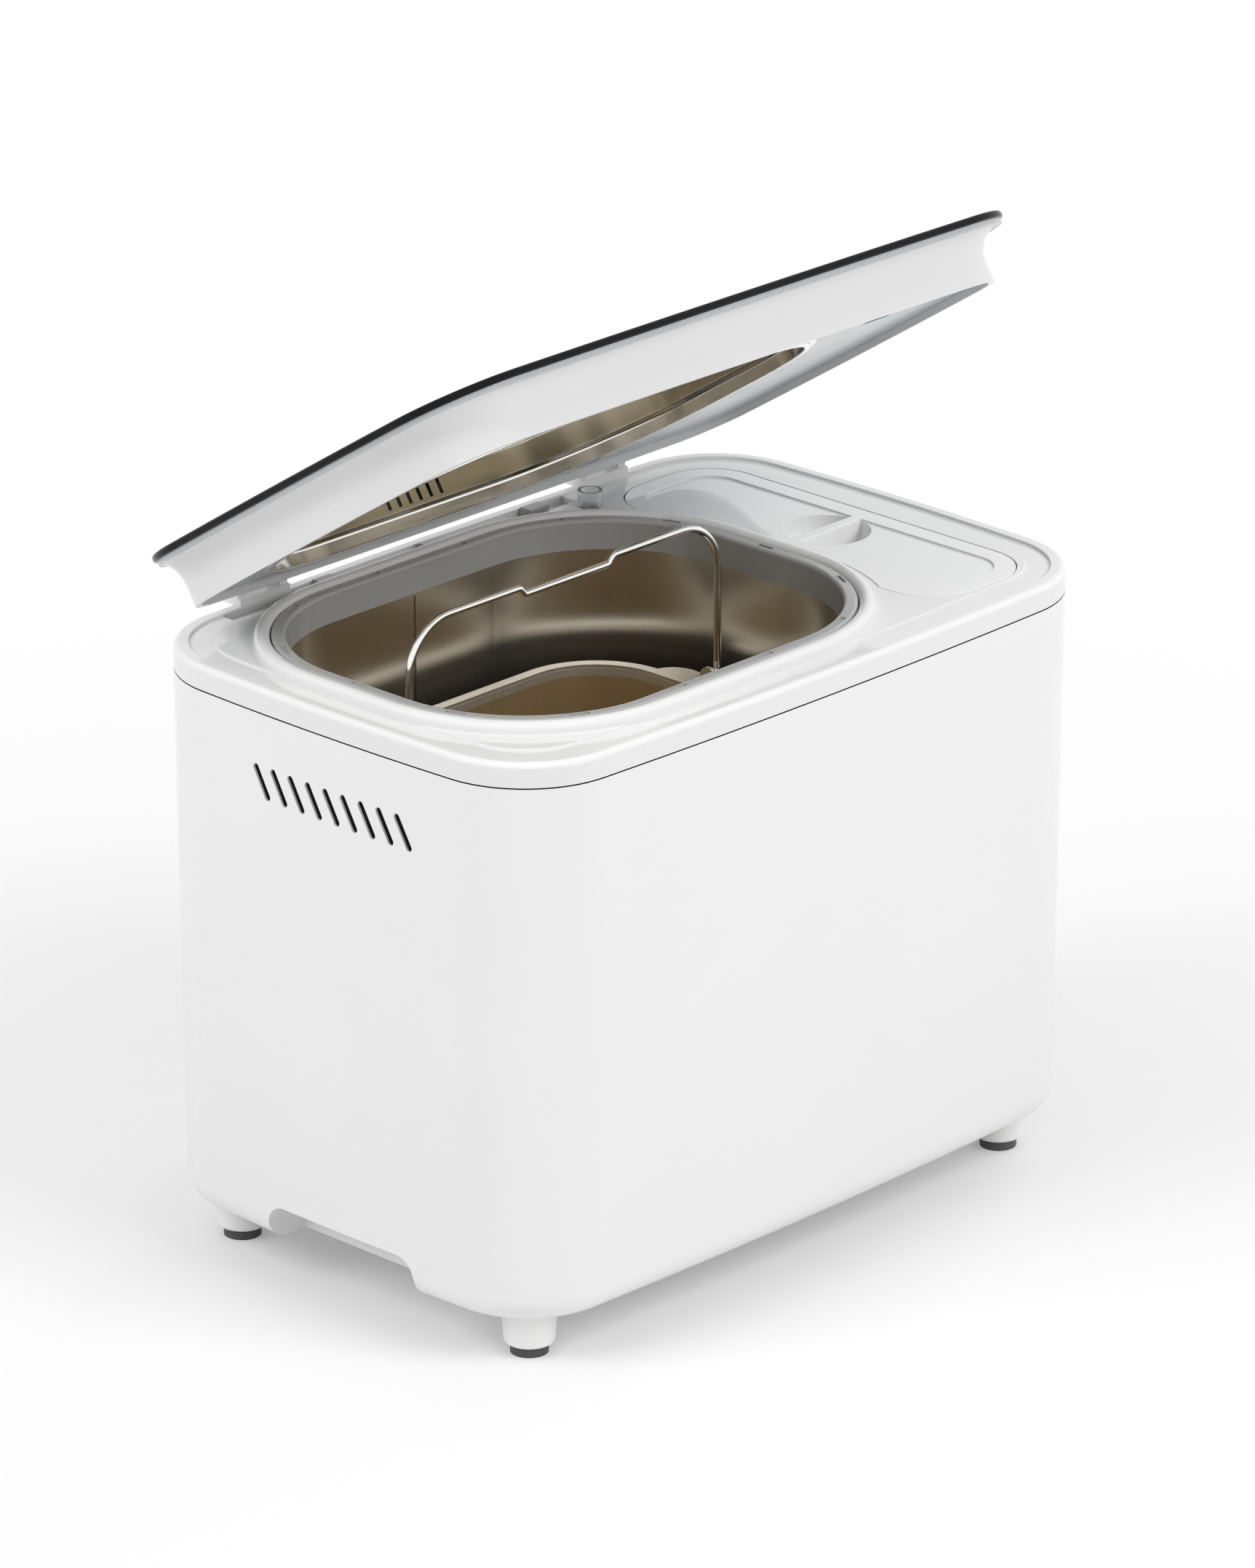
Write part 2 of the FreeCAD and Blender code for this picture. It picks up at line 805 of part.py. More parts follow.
# Heater, probe and gland
def heater_tube():
    level = heater_level()
    half_x = chamber_plan.half_x - heater_inset
    half_y = chamber_plan.half_y - heater_inset
    left, right = heater_exits()
    tail = chamber_plan.half_y + sheet + heater_tail
    route = [
        Vector(right, tail, level),
        Vector(right, half_y, level),
        Vector(chamber_x + half_x, half_y, level),
        Vector(chamber_x + half_x, -half_y, level),
        Vector(chamber_x - half_x, -half_y, level),
        Vector(chamber_x - half_x, half_y, level),
        Vector(left, half_y, level),
        Vector(left, tail, level),
    ]
    bends = [heater_exit_bend] + [heater_bend] * 4 + [heater_exit_bend]
    return bent_wire(route, bends, heater_diameter)


def heater_bushing(x):
    middle = chamber_plan.half_y + sheet / 2
    start = middle - bushing_length / 2
    end = middle + bushing_length / 2
    ring = rod_along_y(x, start, end, heater_level(), bushing_diameter)
    return ring.cut(rod_along_y(x, start - past, end + past, heater_level(), heater_diameter))


def heater_clip(x, y):
    """Saddle on the chamber floor that carries the heater."""
    half = heater_clip_width / 2
    saddle = block(x - half, x + half, y - half, y + half, chamber_floor, heater_level())
    return saddle


def heater_clips(heater):
    half_x = chamber_plan.half_x - heater_inset
    half_y = chamber_plan.half_y - heater_inset
    places = [(chamber_x - half_x, 0), (chamber_x + half_x, 0), (chamber_x, -half_y)]
    return [heater_clip(x, y).cut(heater) for x, y in places]


def probe_wall_x():
    """Inner face of the chamber wall where the probe passes."""
    offset = abs(probe_y) - (chamber_plan.half_y - chamber_plan.corner)
    bulge = math.sqrt(chamber_plan.corner ** 2 - max(offset, 0.0) ** 2)
    return chamber_x + chamber_plan.half_x - chamber_plan.corner + bulge


def temperature_probe():
    wall = probe_wall_x()
    z = chamber_floor + probe_height
    stem = rod_along_x(wall - probe_reach, wall + probe_tail, probe_y, z, probe_diameter)
    start = wall + sheet + probe_flange
    nut = rod_along_x(start, start + probe_flange, probe_y, z, probe_flange_diameter)
    return joined(stem, nut)


def cord_gland():
    x, z = gland_place()
    draft = body_draft * (shell_top - z) / (shell_top - body_bottom)
    wall = body_plan.edge_y(x) - draft
    neck = rod_along_y(x, wall - gland_tail, wall + gland_flange, z, gland_diameter)
    flange = rod_along_y(x, wall + gland_stand, wall + gland_flange, z, gland_flange_diameter)
    bore = rod_along_y(x, wall - gland_tail - past, wall + gland_flange + past, z, gland_bore)
    return joined(neck, flange).cut(bore)


# Chassis and drive train
def chassis_plan():
    left = -half_length + chassis_margin_x
    right = half_length - chassis_margin_x
    return Plan((right - left) / 2, chassis_half_y, chassis_corner, x=(left + right) / 2)


def chassis_post_places():
    plan = chassis_plan()
    x = plan.half_x - chassis_post_inset_x
    y = plan.half_y - chassis_post_inset_y
    return [(step * x, side * y) for step in (-1, 0, 1) for side in (-1, 1)]


def chassis_plate():
    plate = chassis_plan().prism(chassis_bottom, chassis_top)
    holes = [rod(chamber_x, 0, chassis_bottom - past, chassis_top + past, housing_diameter)]
    holes.append(rod(motor_x, 0, chassis_bottom - past, chassis_top + past, motor_boss_diameter))
    return plate.cut(holes)


def bearing_housing():
    neck = rod(chamber_x, 0, housing_bottom, housing_top, housing_diameter)
    flange_bottom = chassis_bottom - housing_flange_thick
    flange = rod(chamber_x, 0, flange_bottom, chassis_bottom, housing_flange_diameter)
    bore = rod(chamber_x, 0, housing_bottom - past, housing_top + past, bush_diameter)
    return joined(neck, flange).cut(bore)


def bearing_bush(bottom):
    return tube(chamber_x, 0, bottom, bottom + bush_length, bush_diameter, shaft_diameter + 2 * running)


def drive_shaft():
    return rod(chamber_x, 0, pulley_bottom - clip_thick - clip_gap, coupling_top, shaft_diameter)


def shaft_clip():
    top = pulley_bottom
    return tube(chamber_x, 0, top - clip_thick, top, clip_diameter, shaft_diameter)


def pulley(x, groove_diameter, hub_diameter, bore):
    """Belt pulley with two flanges; a wide one is webbed, with a hub the full width."""
    outside = groove_diameter + 2 * pulley_rim
    wheel = rod(x, 0, pulley_bottom, pulley_top, outside)
    groove_low = pulley_bottom + pulley_flange
    groove_high = pulley_top - pulley_flange
    wheel = wheel.cut(tube(x, 0, groove_low, groove_high, outside + past, groove_diameter))
    if groove_diameter > 2 * hub_diameter:
        inner = groove_diameter - 4 * pulley_rim
        third = pulley_width / 3
        wheel = wheel.cut(tube(x, 0, pulley_top - third, pulley_top + past, inner, hub_diameter))
        wheel = wheel.cut(tube(x, 0, pulley_bottom - past, pulley_bottom + third, inner, hub_diameter))
    return wheel.cut(rod(x, 0, pulley_bottom - past, pulley_top + past, bore))


def belt_face(large_radius, small_radius, bottom, top):
    """Solid inside a belt line round both pulleys."""
    span = motor_x - chamber_x
    lean = math.acos((large_radius - small_radius) / span)
    sine = math.sin(lean)
    cosine = math.cos(lean)
    large_up = Vector(chamber_x + large_radius * cosine, large_radius * sine, bottom)
    large_low = Vector(chamber_x + large_radius * cosine, -large_radius * sine, bottom)
    small_up = Vector(motor_x + small_radius * cosine, small_radius * sine, bottom)
    small_low = Vector(motor_x + small_radius * cosine, -small_radius * sine, bottom)
    large_end = Vector(chamber_x - large_radius, 0, bottom)
    small_end = Vector(motor_x + small_radius, 0, bottom)
    edges = [
        Part.Arc(large_up, large_end, large_low).toShape(),
        Part.LineSegment(large_low, small_low).toShape(),
        Part.Arc(small_low, small_end, small_up).toShape(),
        Part.LineSegment(small_up, large_up).toShape(),
    ]
    return Part.Face(Part.Wire(edges)).extrude(Vector(0, 0, top - bottom))


def drive_belt():
    low = pulley_bottom + pulley_flange + belt_side_gap
    high = pulley_top - pulley_flange - belt_side_gap
    large = large_groove_diameter / 2 + running
    small = motor_groove_diameter / 2 + running
    outer = belt_face(large + belt_thick, small + belt_thick, low, high)
    return outer.cut(belt_face(large, small, low - past, high + past))


def drive_coupling():
    disc = tube(chamber_x, 0, coupling_bottom, coupling_top, coupling_diameter, shaft_diameter)
    outer = coupling_diameter / 2
    dogs = []
    for side in (-1, 1):
        near = side * (outer - dog_depth)
        dog = block(chamber_x - dog_width / 2, chamber_x + dog_width / 2, near, side * outer, coupling_bottom,
                    coupling_top + dog_height)
        dogs.append(dog.common(rod(chamber_x, 0, 0, shell_top, coupling_diameter)))
    return joined(disc, *dogs)


# Motor and electrics
def motor_bottom():
    return chassis_top + bracket_thick


def motor_bracket():
    half = motor_diameter / 2 + bracket_margin
    plate = Plan(half, half, bracket_margin, x=motor_x).prism(chassis_top, motor_bottom())
    return plate.cut(rod(motor_x, 0, chassis_top - past, motor_bottom() + past, motor_boss_diameter))


def motor_case():
    low = motor_bottom()
    can = soften(rod(motor_x, 0, low, low + motor_height, motor_diameter), motor_round, low + motor_height)
    boss_top = low + motor_height + motor_boss_height
    boss = rod(motor_x, 0, low, boss_top, motor_boss_diameter)
    nose = rod(motor_x, 0, chassis_bottom, low + past, motor_boss_diameter)
    bore = rod(motor_x, 0, 0, shell_top, motor_shaft_diameter + 2 * running)
    return joined(can, boss, nose).cut(bore)


def motor_shaft():
    top = motor_bottom() + motor_height + motor_boss_height + motor_shaft_tail
    return rod(motor_x, 0, pulley_bottom, top, motor_shaft_diameter)


def motor_bolts():
    """Bolt heads at the four corners of the bracket."""
    bolts = []
    for side_x in (-1, 1):
        for side_y in (-1, 1):
            x = motor_x + side_x * motor_bolt_offset
            y = side_y * motor_bolt_offset
            bolts.append(rod(x, y, motor_bottom(), motor_bottom() + screw_head_height, screw_head_diameter))
    return bolts


def motor_capacitor():
    front = -chassis_half_y + capacitor_edge
    half = capacitor_length / 2
    return block(motor_x - half, motor_x + half, front, front + capacitor_width, chassis_top,
                 chassis_top + capacitor_height)


def board_back():
    """Y of the upright bracket's front face."""
    return chassis_half_y - board_edge - board_bracket_foot


def board_bracket():
    half = board_width / 2
    y = board_back()
    top = chassis_top + board_lift + board_height
    upright = block(motor_x - half, motor_x + half, y, y + board_bracket_thick, chassis_top, top)
    base = block(motor_x - half, motor_x + half, y, y + board_bracket_foot, chassis_top,
                 chassis_top + board_bracket_thick)
    return joined(upright, base)


def board_front():
    return board_back() - board_standoff - board_thick


def power_board():
    half = board_width / 2
    low = chassis_top + board_lift
    y = board_front()
    return block(motor_x - half, motor_x + half, y, y + board_thick, low, low + board_height)


def board_standoffs():
    low = chassis_top + board_lift + standoff_inset
    high = chassis_top + board_lift + board_height - standoff_inset
    x = board_width / 2 - standoff_inset
    start = board_front() + board_thick
    places = [(motor_x + side * x, z) for side in (-1, 1) for z in (low, high)]
    return [rod_along_y(px, start, board_back(), pz, standoff_diameter) for px, pz in places]


def board_parts():
    """Two relays and a terminal strip on the board's face."""
    face = board_front()
    low = chassis_top + board_lift + board_height / 2
    parts = []
    for side in (-1, 1):
        x = motor_x + side * relay_pitch / 2
        half = relay_width / 2
        parts.append(block(x - half, x + half, face - relay_depth, face, low, low + relay_height))
    strip_low = low - relay_height
    half = terminal_length / 2
    parts.append(block(motor_x - half, motor_x + half, face - terminal_depth, face, strip_low,
                       strip_low + terminal_height))
    return parts


# Flush cover and tub
def storage_cover():
    plate = soften(cover_region(0, cover_bottom, platform_top), cover_round, platform_top)
    cup_bottom = platform_top - pinch_depth - pinch_wall
    cup = rod(pinch_x, 0, cup_bottom, cover_bottom + cover_round, pinch_diameter + 2 * pinch_wall)
    pocket = rod(pinch_x, 0, platform_top - pinch_depth, platform_top + past, pinch_diameter)
    pocket = soften(pocket, pinch_bowl, platform_top - pinch_depth)
    step = cover_region(-cover_step_inset, platform_top - cover_step_depth, platform_top + past)
    ridge = block(pinch_x - pinch_diameter / 2 - pinch_wall / 2, pinch_x + pinch_diameter / 2 + pinch_wall / 2,
                  -pinch_ridge / 2, pinch_ridge / 2, cup_bottom, platform_top)
    ridge = soften(ridge, cover_round, platform_top)
    return joined(joined(plate, cup).cut([pocket, step]), ridge)


def storage_tub():
    inner = cover_region(-ledge_width, tub_bottom + tub_wall, ledge_bottom + past)
    outer = cover_region(tub_wall - ledge_width, tub_bottom, ledge_bottom)
    flange = cover_region(0, ledge_bottom - tub_wall, ledge_bottom)
    return joined(outer, flange).cut(inner)


# Pan, handle and paddle
def foot_ring():
    inside = foot_ring_diameter - 2 * foot_ring_wall
    return tube(chamber_x, 0, pan_foot_bottom, pan_bottom, foot_ring_diameter, inside)


def pan_socket():
    bore = foot_ring_diameter + 2 * slip
    wall = tube(chamber_x, 0, chamber_floor, chamber_floor + socket_height, bore + 2 * socket_wall, bore)
    ledge_top = chamber_floor + socket_ledge_height
    inside = foot_ring_diameter - 2 * foot_ring_wall - socket_ledge
    ledge = tube(chamber_x, 0, chamber_floor, ledge_top, bore + socket_wall, inside)
    return joined(wall, ledge)


def ear_plan(side):
    """Flat ear that widens the rim at one end of the pan."""
    half = ear_reach + pan_corner / 2
    return Plan(half, ear_half_width, ear_corner, x=chamber_x + side * (pan_length / 2 + ear_reach - half))


def rivet_places():
    x = handle_half
    return [(chamber_x + side * x, step * rivet_offset) for side in (-1, 1) for step in (-1, 1)]


def bread_pan():
    low_plan = pan_plan.inset(pan_draft)
    outer = Part.makeLoft([low_plan.wire(pan_bottom), pan_plan.wire(pan_rim_top)], True, True)
    outer = soften(outer, pan_round, pan_bottom)
    floor = pan_bottom + pan_wall
    low_inside = low_plan.inset(pan_wall).wire(floor)
    high_inside = pan_plan.inset(pan_wall).wire(pan_rim_top)
    inner = Part.makeLoft([low_inside, high_inside], True, True)
    inner = soften(inner, pan_round - pan_wall, floor)
    mouth = pan_plan.inset(pan_wall).prism(pan_rim_top - pan_wall, pan_rim_top + past)
    rim_low = pan_rim_top - pan_rim_height
    rim = pan_plan.inset(-pan_rim_reach).prism(rim_low, pan_rim_top)
    rim = soften(rim, pan_rim_round, rim_low, pan_rim_top)
    ear_top = pan_rim_top - ear_drop
    ears = [ear_plan(side).prism(ear_top - ear_thick, ear_top) for side in (-1, 1)]
    pan = joined(outer, rim, *ears)
    holes = [rod(chamber_x, 0, pan_bottom - past, floor + past, pan_bush_diameter)]
    for x, y in rivet_places():
        holes.append(rod(x, y, pan_rim_top - pan_rim_height, pan_rim_top + past, rivet_diameter))
    return pan.cut([inner, mouth] + holes)


def pan_ear(side):
    """Angle bracket on one ear whose upright lug, round at the top, carries the handle."""
    near = pan_length / 2 + lug_gap
    far = pan_length / 2 + ear_reach - lug_gap
    x_near = chamber_x + side * near
    foot_top = pan_rim_top + lug_thick
    base = block(x_near, chamber_x + side * far, -lug_half_width, lug_half_width, pan_rim_top, foot_top)
    start = min(x_near, x_near + side * lug_thick)
    end = start + lug_thick
    lug_radius = lug_rise - pivot_rise
    stem = block(start, end, -lug_radius, lug_radius, pan_rim_top, pivot_height)
    eye = rod_along_x(start, end, 0, pivot_height, 2 * lug_radius)
    bore = rod_along_x(start - past, end + past, 0, pivot_height, wire_diameter + 2 * running)
    tools = [bore]
    for x, y in rivet_places():
        tools.append(rod(x, y, pan_rim_top - past, foot_top + past, rivet_diameter))
    return joined(base, stem, eye).cut(tools)


def ear_rivet(x, y):
    ear_bottom = pan_rim_top - ear_drop - ear_thick
    foot_top = pan_rim_top + lug_thick
    shank = rod(x, y, ear_bottom, foot_top, rivet_diameter)
    head = rod(x, y, foot_top, foot_top + rivet_head_height, rivet_head_diameter)
    tail = rod(x, y, ear_bottom - rivet_head_height, ear_bottom, rivet_head_diameter)
    return joined(shank, head, tail)


def pan_handle():
    """Bail of round wire: inward ends in the lugs, upright legs and a bar that dips in the middle."""
    end = pan_length / 2 + lug_gap - handle_end
    half_dip = dip_half_length - dip_run
    low = handle_top - dip_drop
    profile = [
        (-end, pivot_height),
        (-handle_half, pivot_height),
        (-handle_half, handle_top),
        (-dip_half_length, handle_top),
        (-half_dip, low),
        (half_dip, low),
        (dip_half_length, handle_top),
        (handle_half, handle_top),
        (handle_half, pivot_height),
        (end, pivot_height),
    ]
    bends = [handle_elbow, handle_shoulder] + [dip_bend] * 4 + [handle_shoulder, handle_elbow]
    return bent_wire([Vector(chamber_x + x, 0, z) for x, z in profile], bends, wire_diameter)


def pan_bush():
    floor = pan_bottom + pan_wall
    neck = rod(chamber_x, 0, pan_bottom - pan_bush_drop, floor + pan_bush_rise, pan_bush_diameter)
    flange = rod(chamber_x, 0, floor, floor + pan_bush_flange, pan_bush_flange_diameter)
    bore = rod(chamber_x, 0, pan_bottom - 2 * pan_bush_drop, shell_top, shaft_diameter + 2 * running)
    return joined(neck, flange).cut(bore)


def hub_bottom():
    return pan_bottom + pan_wall + pan_bush_rise + paddle_gap


def pan_shaft():
    return rod(chamber_x, 0, wing_bottom, hub_bottom() + paddle_hub_height - shaft_tip, shaft_diameter)


def pan_wing():
    half = wing_length / 2
    bar = block(chamber_x - half, chamber_x + half, -wing_width / 2, wing_width / 2, wing_bottom,
                wing_bottom + wing_height)
    hub = rod(chamber_x, 0, wing_bottom, wing_bottom + wing_height, 2 * shaft_diameter)
    bore = rod(chamber_x, 0, wing_bottom - past, wing_bottom + wing_height + past, shaft_diameter)
    return joined(bar, hub).cut(bore)


def kneading_paddle():
    low = hub_bottom()
    hub = soften(rod(chamber_x, 0, low, low + paddle_hub_height, paddle_hub_diameter), paddle_round,
                 low + paddle_hub_height)
    blade = block(chamber_x, chamber_x + paddle_reach, -paddle_thick / 2, paddle_thick / 2, low,
                  low + paddle_blade_height)
    outer_end = []
    for edge in blade.Edges:
        box = edge.BoundBox
        if box.XMin > chamber_x + paddle_reach - past and box.YLength > past and box.ZMin > low + past:
            outer_end.append(edge)
    blade = blade.makeFillet(paddle_blade_height * 0.6, outer_end)
    bore = rod(chamber_x, 0, low - past, low + paddle_hub_height - shaft_tip, shaft_diameter)
    return joined(hub, blade).cut(bore)


# Lid, drawn shut
def lid_section(height, inset):
    """Lid outline at a height above its bottom edge: upright first, then a cove out to the panel."""
    rise = max(height - cove_start, 0.0)
    flare = cove_radius - math.sqrt(cove_radius ** 2 - rise ** 2)
    return lid_plan.inset(inset - flare, -lid_lean * flare / panel_reach).wire(lid_bottom + height)


def lid_body(inset, low, high):
    """Upright part of the lid with a smooth cove above it."""
    steps = 5
    heights = [cove_start + (high - cove_start) * step / steps for step in range(steps + 1)]
    cove = Part.makeLoft([lid_section(height, inset) for height in heights], True, False)
    return joined(lid_plan.inset(inset).prism(lid_bottom + low, lid_bottom + cove_start), cove)


def lid_screw_places():
    """Screw centres along the lid's long sides."""
    places = []
    for x in (-lid_screw_x, 0, lid_screw_x):
        reach = lid_plan.edge_y(x) - lid_boss_inset
        places.append((x, lid_shift - reach))
        places.append((x, lid_shift + reach))
    return places


def hinge_places():
    return [-hinge_half_pitch, hinge_half_pitch]


def lid_frame():
    outer = lid_body(0, 0, frame_height)
    inner = lid_body(lid_wall, -past, frame_height + slip)
    frame = outer.cut(inner)
    pieces = []
    bores = []
    for x, y in lid_screw_places():
        pieces.append(rod(x, y, liner_top, lid_bottom + lid_boss_top, lid_boss_diameter).common(outer))
        bores.append(rod(x, y, liner_top - past, liner_bottom + lid_screw_reach, screw_diameter))
    for x in hinge_places():
        start = x - knuckle_length / 2
        wall_y = lid_shift + lid_plan.edge_y(x) - lid_wall / 2
        barrel = rod_along_x(start, start + knuckle_length, hinge_y, hinge_height, knuckle_diameter)
        half = knuckle_diameter / 2
        arm = block(start, start + knuckle_length, wall_y, hinge_y, hinge_height - half, hinge_height)
        pieces.append(joined(barrel, arm))
        pin = rod_along_x(start - past, start + knuckle_length + past, hinge_y, hinge_height,
                          hinge_pin_diameter + 2 * running)
        bores.append(pin)
    return joined(frame, *pieces).cut(bores)


def lid_trim():
    outer = panel_plan.inset(trim_inset)
    ring = outer.prism(trim_bottom, trim_top)
    return ring.cut(outer.inset(trim_width).prism(trim_bottom - past, trim_top + past))


def lid_top_panel():
    panel = panel_plan.prism(trim_top, trim_top + panel_thick)
    return soften(panel, panel_round, trim_top, trim_top + panel_thick)


def liner_slot_place():
    return half_length - liner_slot_x_edge, liner_slot_y_edge - half_width


def lid_liner():
    plate = lid_plan.inset(lid_wall + slip).prism(liner_bottom, liner_top)
    slot_x, slot_y = liner_slot_place()
    tools = [dish_plan.inset(-dish_sheet - slip).prism(liner_bottom - past, liner_top + past)]
    socket = post_diameter + 2 * post_socket_gap
    tools.append(rod(post_x, post_y, liner_bottom - past, liner_top + past, socket))
    half_slot = liner_slot_length / 2
    tools.append(block(slot_x - half_slot, slot_x + half_slot, slot_y - liner_slot_width / 2,
                       slot_y + liner_slot_width / 2, liner_bottom - past, liner_top + past))
    for x, y in lid_screw_places():
        tools.append(rod(x, y, liner_bottom - past, liner_top + past, screw_diameter))
        tools.append(rod(x, y, liner_bottom - past, liner_bottom + screw_head_height, screw_head_diameter))
    return plate.cut(tools)


def lid_screw(x, y):
    head = rod(x, y, liner_bottom, liner_bottom + screw_head_height, screw_head_diameter)
    return joined(head, rod(x, y, liner_bottom, liner_bottom + lid_screw_reach, screw_diameter))


def lid_dish():
    """Sheet dish in the lid: flat flange with a bead, a step and a deep well with steam slits."""
    flange_low = liner_bottom - dish_sheet
    step_top = liner_bottom + dish_step_height
    flange_plan = opening_plan.inset(-dish_flange_outside)
    flange = flange_plan.prism(flange_low, liner_bottom)
    bead_outer = opening_plan.inset(dish_bead_inset)
    bead = bead_outer.prism(flange_low - dish_bead_height, liner_bottom)
    bead = bead.cut(bead_outer.inset(dish_bead_width).prism(flange_low - 2 * past, liner_bottom + past))
    bead = soften(bead, dish_bead_round, flange_low - dish_bead_height)
    step = dish_plan.inset(-dish_sheet).prism(flange_low, step_top)
    step = soften(step, dish_round, step_top)
    well = dish_well_plan.inset(-dish_sheet).prism(flange_low, dish_ceiling + dish_sheet)
    well = soften(well, dish_round + dish_sheet, dish_ceiling + dish_sheet)
    step_space = dish_plan.prism(flange_low - 2 * past, step_top - dish_sheet)
    step_space = soften(step_space, dish_round - dish_sheet, step_top - dish_sheet)
    well_space = soften(dish_well_plan.prism(flange_low - past, dish_ceiling), dish_round, dish_ceiling)
    dish = joined(flange, bead, step, well).cut([step_space, well_space])
    wall = dish_well_plan.half_y
    slit_low = dish_ceiling - dish_round - dish_slit_height
    slits = []
    for index in range(dish_slit_count):
        x = chamber_x + dish_slit_x + index * dish_slit_pitch
        slits.append(block(x, x + dish_slit_width, wall - past, wall + past + dish_sheet, slit_low,
                           slit_low + dish_slit_height))
    return dish.cut(slits)


def touch_board():
    right = half_length - touch_board_edge
    half = touch_board_width / 2
    top = trim_top - touch_board_gap
    return block(right - touch_board_length, right, -half, half, top - touch_board_thick, top)


def hinge_bracket(x):
    """Two cheeks on a base at the back rim, which hold one hinge pin."""
    half = knuckle_length / 2 + slip
    front = hinge_y - hinge_base_front
    back = hinge_y + hinge_base_back
    reach = half + cheek_thick
    base = block(x - reach, x + reach, front, back, rim_top, rim_top + hinge_base_thick)
    cheeks = []
    for side in (-1, 1):
        near = x + side * half
        start = min(near, near + side * cheek_thick)
        eye = rod_along_x(start, start + cheek_thick, hinge_y, hinge_height, cheek_diameter)
        leg = block(start, start + cheek_thick, hinge_y - cheek_diameter / 2, back, rim_top, hinge_height)
        cheeks.append(joined(eye, leg))
    hole = rod_along_x(x - 2 * reach, x + 2 * reach, hinge_y, hinge_height, hinge_pin_diameter)
    return joined(base, *cheeks).cut(hole)


def hinge_pin(x):
    half = knuckle_length / 2 + slip + cheek_thick
    return rod_along_x(x - half, x + half, hinge_y, hinge_height, hinge_pin_diameter)


def opened(shape):
    """Lid piece turned from shut to its resting angle."""
    return shape.rotated(Vector(0, hinge_y, hinge_height), EAST, -lid_open_angle)


def build():
    os.makedirs("parts", exist_ok=True)
    save("body_shell", body_shell())
    save("base_plate", base_plate())
    save("base_screws", *[base_screw(x, y) for x, y in base_screw_places()])
    save("feet", *[foot(x, y) for x, y in foot_places()])
    save("foot_pads", *[foot_pad(x, y) for x, y in foot_places()])
    save("foot_screws", *[foot_screw(x, y) for x, y in foot_places()])
    save("top_deck", top_deck())
    save("hinge_stops", *[hinge_stop(stop_shift + step * stop_pitch) for step in (-1, 0, 1)])
    save("sensor_post", sensor_post())
    save("chamber_collar", chamber_collar())
    save("oven_chamber", oven_chamber())
    heater = heater_tube()
    save("heating_element", heater)
    save("heater_bushings", *[heater_bushing(x) for x in heater_exits()])
    save("heater_clips", *heater_clips(heater))
    save("temperature_probe", temperature_probe())
    save("cord_gland", cord_gland())
    save("chassis_plate", chassis_plate())
    posts = [rod(x, y, base_top, chassis_bottom, chassis_post_diameter) for x, y in chassis_post_places()]
    save("chassis_posts", *posts)
    save("bearing_housing", bearing_housing())
    save("bearing_bushes", bearing_bush(housing_bottom), bearing_bush(housing_top - bush_length))
    save("drive_shaft", drive_shaft())
    save("shaft_clip", shaft_clip())
    save("large_pulley", pulley(chamber_x, large_groove_diameter, pulley_hub_diameter, shaft_diameter))
    save("motor_pulley", pulley(motor_x, motor_groove_diameter, motor_groove_diameter, motor_shaft_diameter))
    save("drive_belt", drive_belt())
    save("drive_coupling", drive_coupling())
    save("motor_bracket", motor_bracket())
    save("motor_case", motor_case())
    save("motor_shaft", motor_shaft())
    save("motor_bolts", *motor_bolts())
    save("motor_capacitor", motor_capacitor())
    save("board_bracket", board_bracket())
    save("power_board", power_board())
    save("board_standoffs", *board_standoffs())
    save("board_parts", *board_parts())
    save("storage_cover", storage_cover())
    save("storage_tub", storage_tub())
    save("pan_socket", pan_socket())
    save("bread_pan", bread_pan())
    save("pan_foot_ring", foot_ring())
    save("pan_ears", pan_ear(-1), pan_ear(1))
    save("ear_rivets", *[ear_rivet(x, y) for x, y in rivet_places()])
    save("pan_handle", pan_handle())
    save("pan_bush", pan_bush())
    save("pan_shaft", pan_shaft())
    save("pan_wing", pan_wing())
    save("kneading_paddle", kneading_paddle())
    save("lid_frame", opened(lid_frame()))
    save("lid_trim", opened(lid_trim()))
    save("lid_top_panel", opened(lid_top_panel()))
    save("lid_liner", opened(lid_liner()))
    save("lid_dish", opened(lid_dish()))
    save("lid_screws", *[opened(lid_screw(x, y)) for x, y in lid_screw_places()])
    save("touch_board", opened(touch_board()))
    save("hinge_brackets", *[hinge_bracket(x) for x in hinge_places()])
    save("hinge_pins", *[hinge_pin(x) for x in hinge_places()])


build()
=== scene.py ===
import json
import math

import bpy
import numpy as np
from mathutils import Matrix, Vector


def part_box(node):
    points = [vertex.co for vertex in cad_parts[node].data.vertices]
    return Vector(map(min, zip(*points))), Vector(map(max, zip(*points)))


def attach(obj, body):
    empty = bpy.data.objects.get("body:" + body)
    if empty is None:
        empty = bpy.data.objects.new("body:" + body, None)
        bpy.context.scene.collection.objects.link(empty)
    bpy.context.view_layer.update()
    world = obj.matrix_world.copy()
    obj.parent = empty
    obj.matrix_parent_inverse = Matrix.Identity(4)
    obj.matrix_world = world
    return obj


# Looks of a white bread machine with its lid part open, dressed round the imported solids.
# Lengths are in metres, in the same frame as the solids: X along the long side, Y to the hinge, Z up.

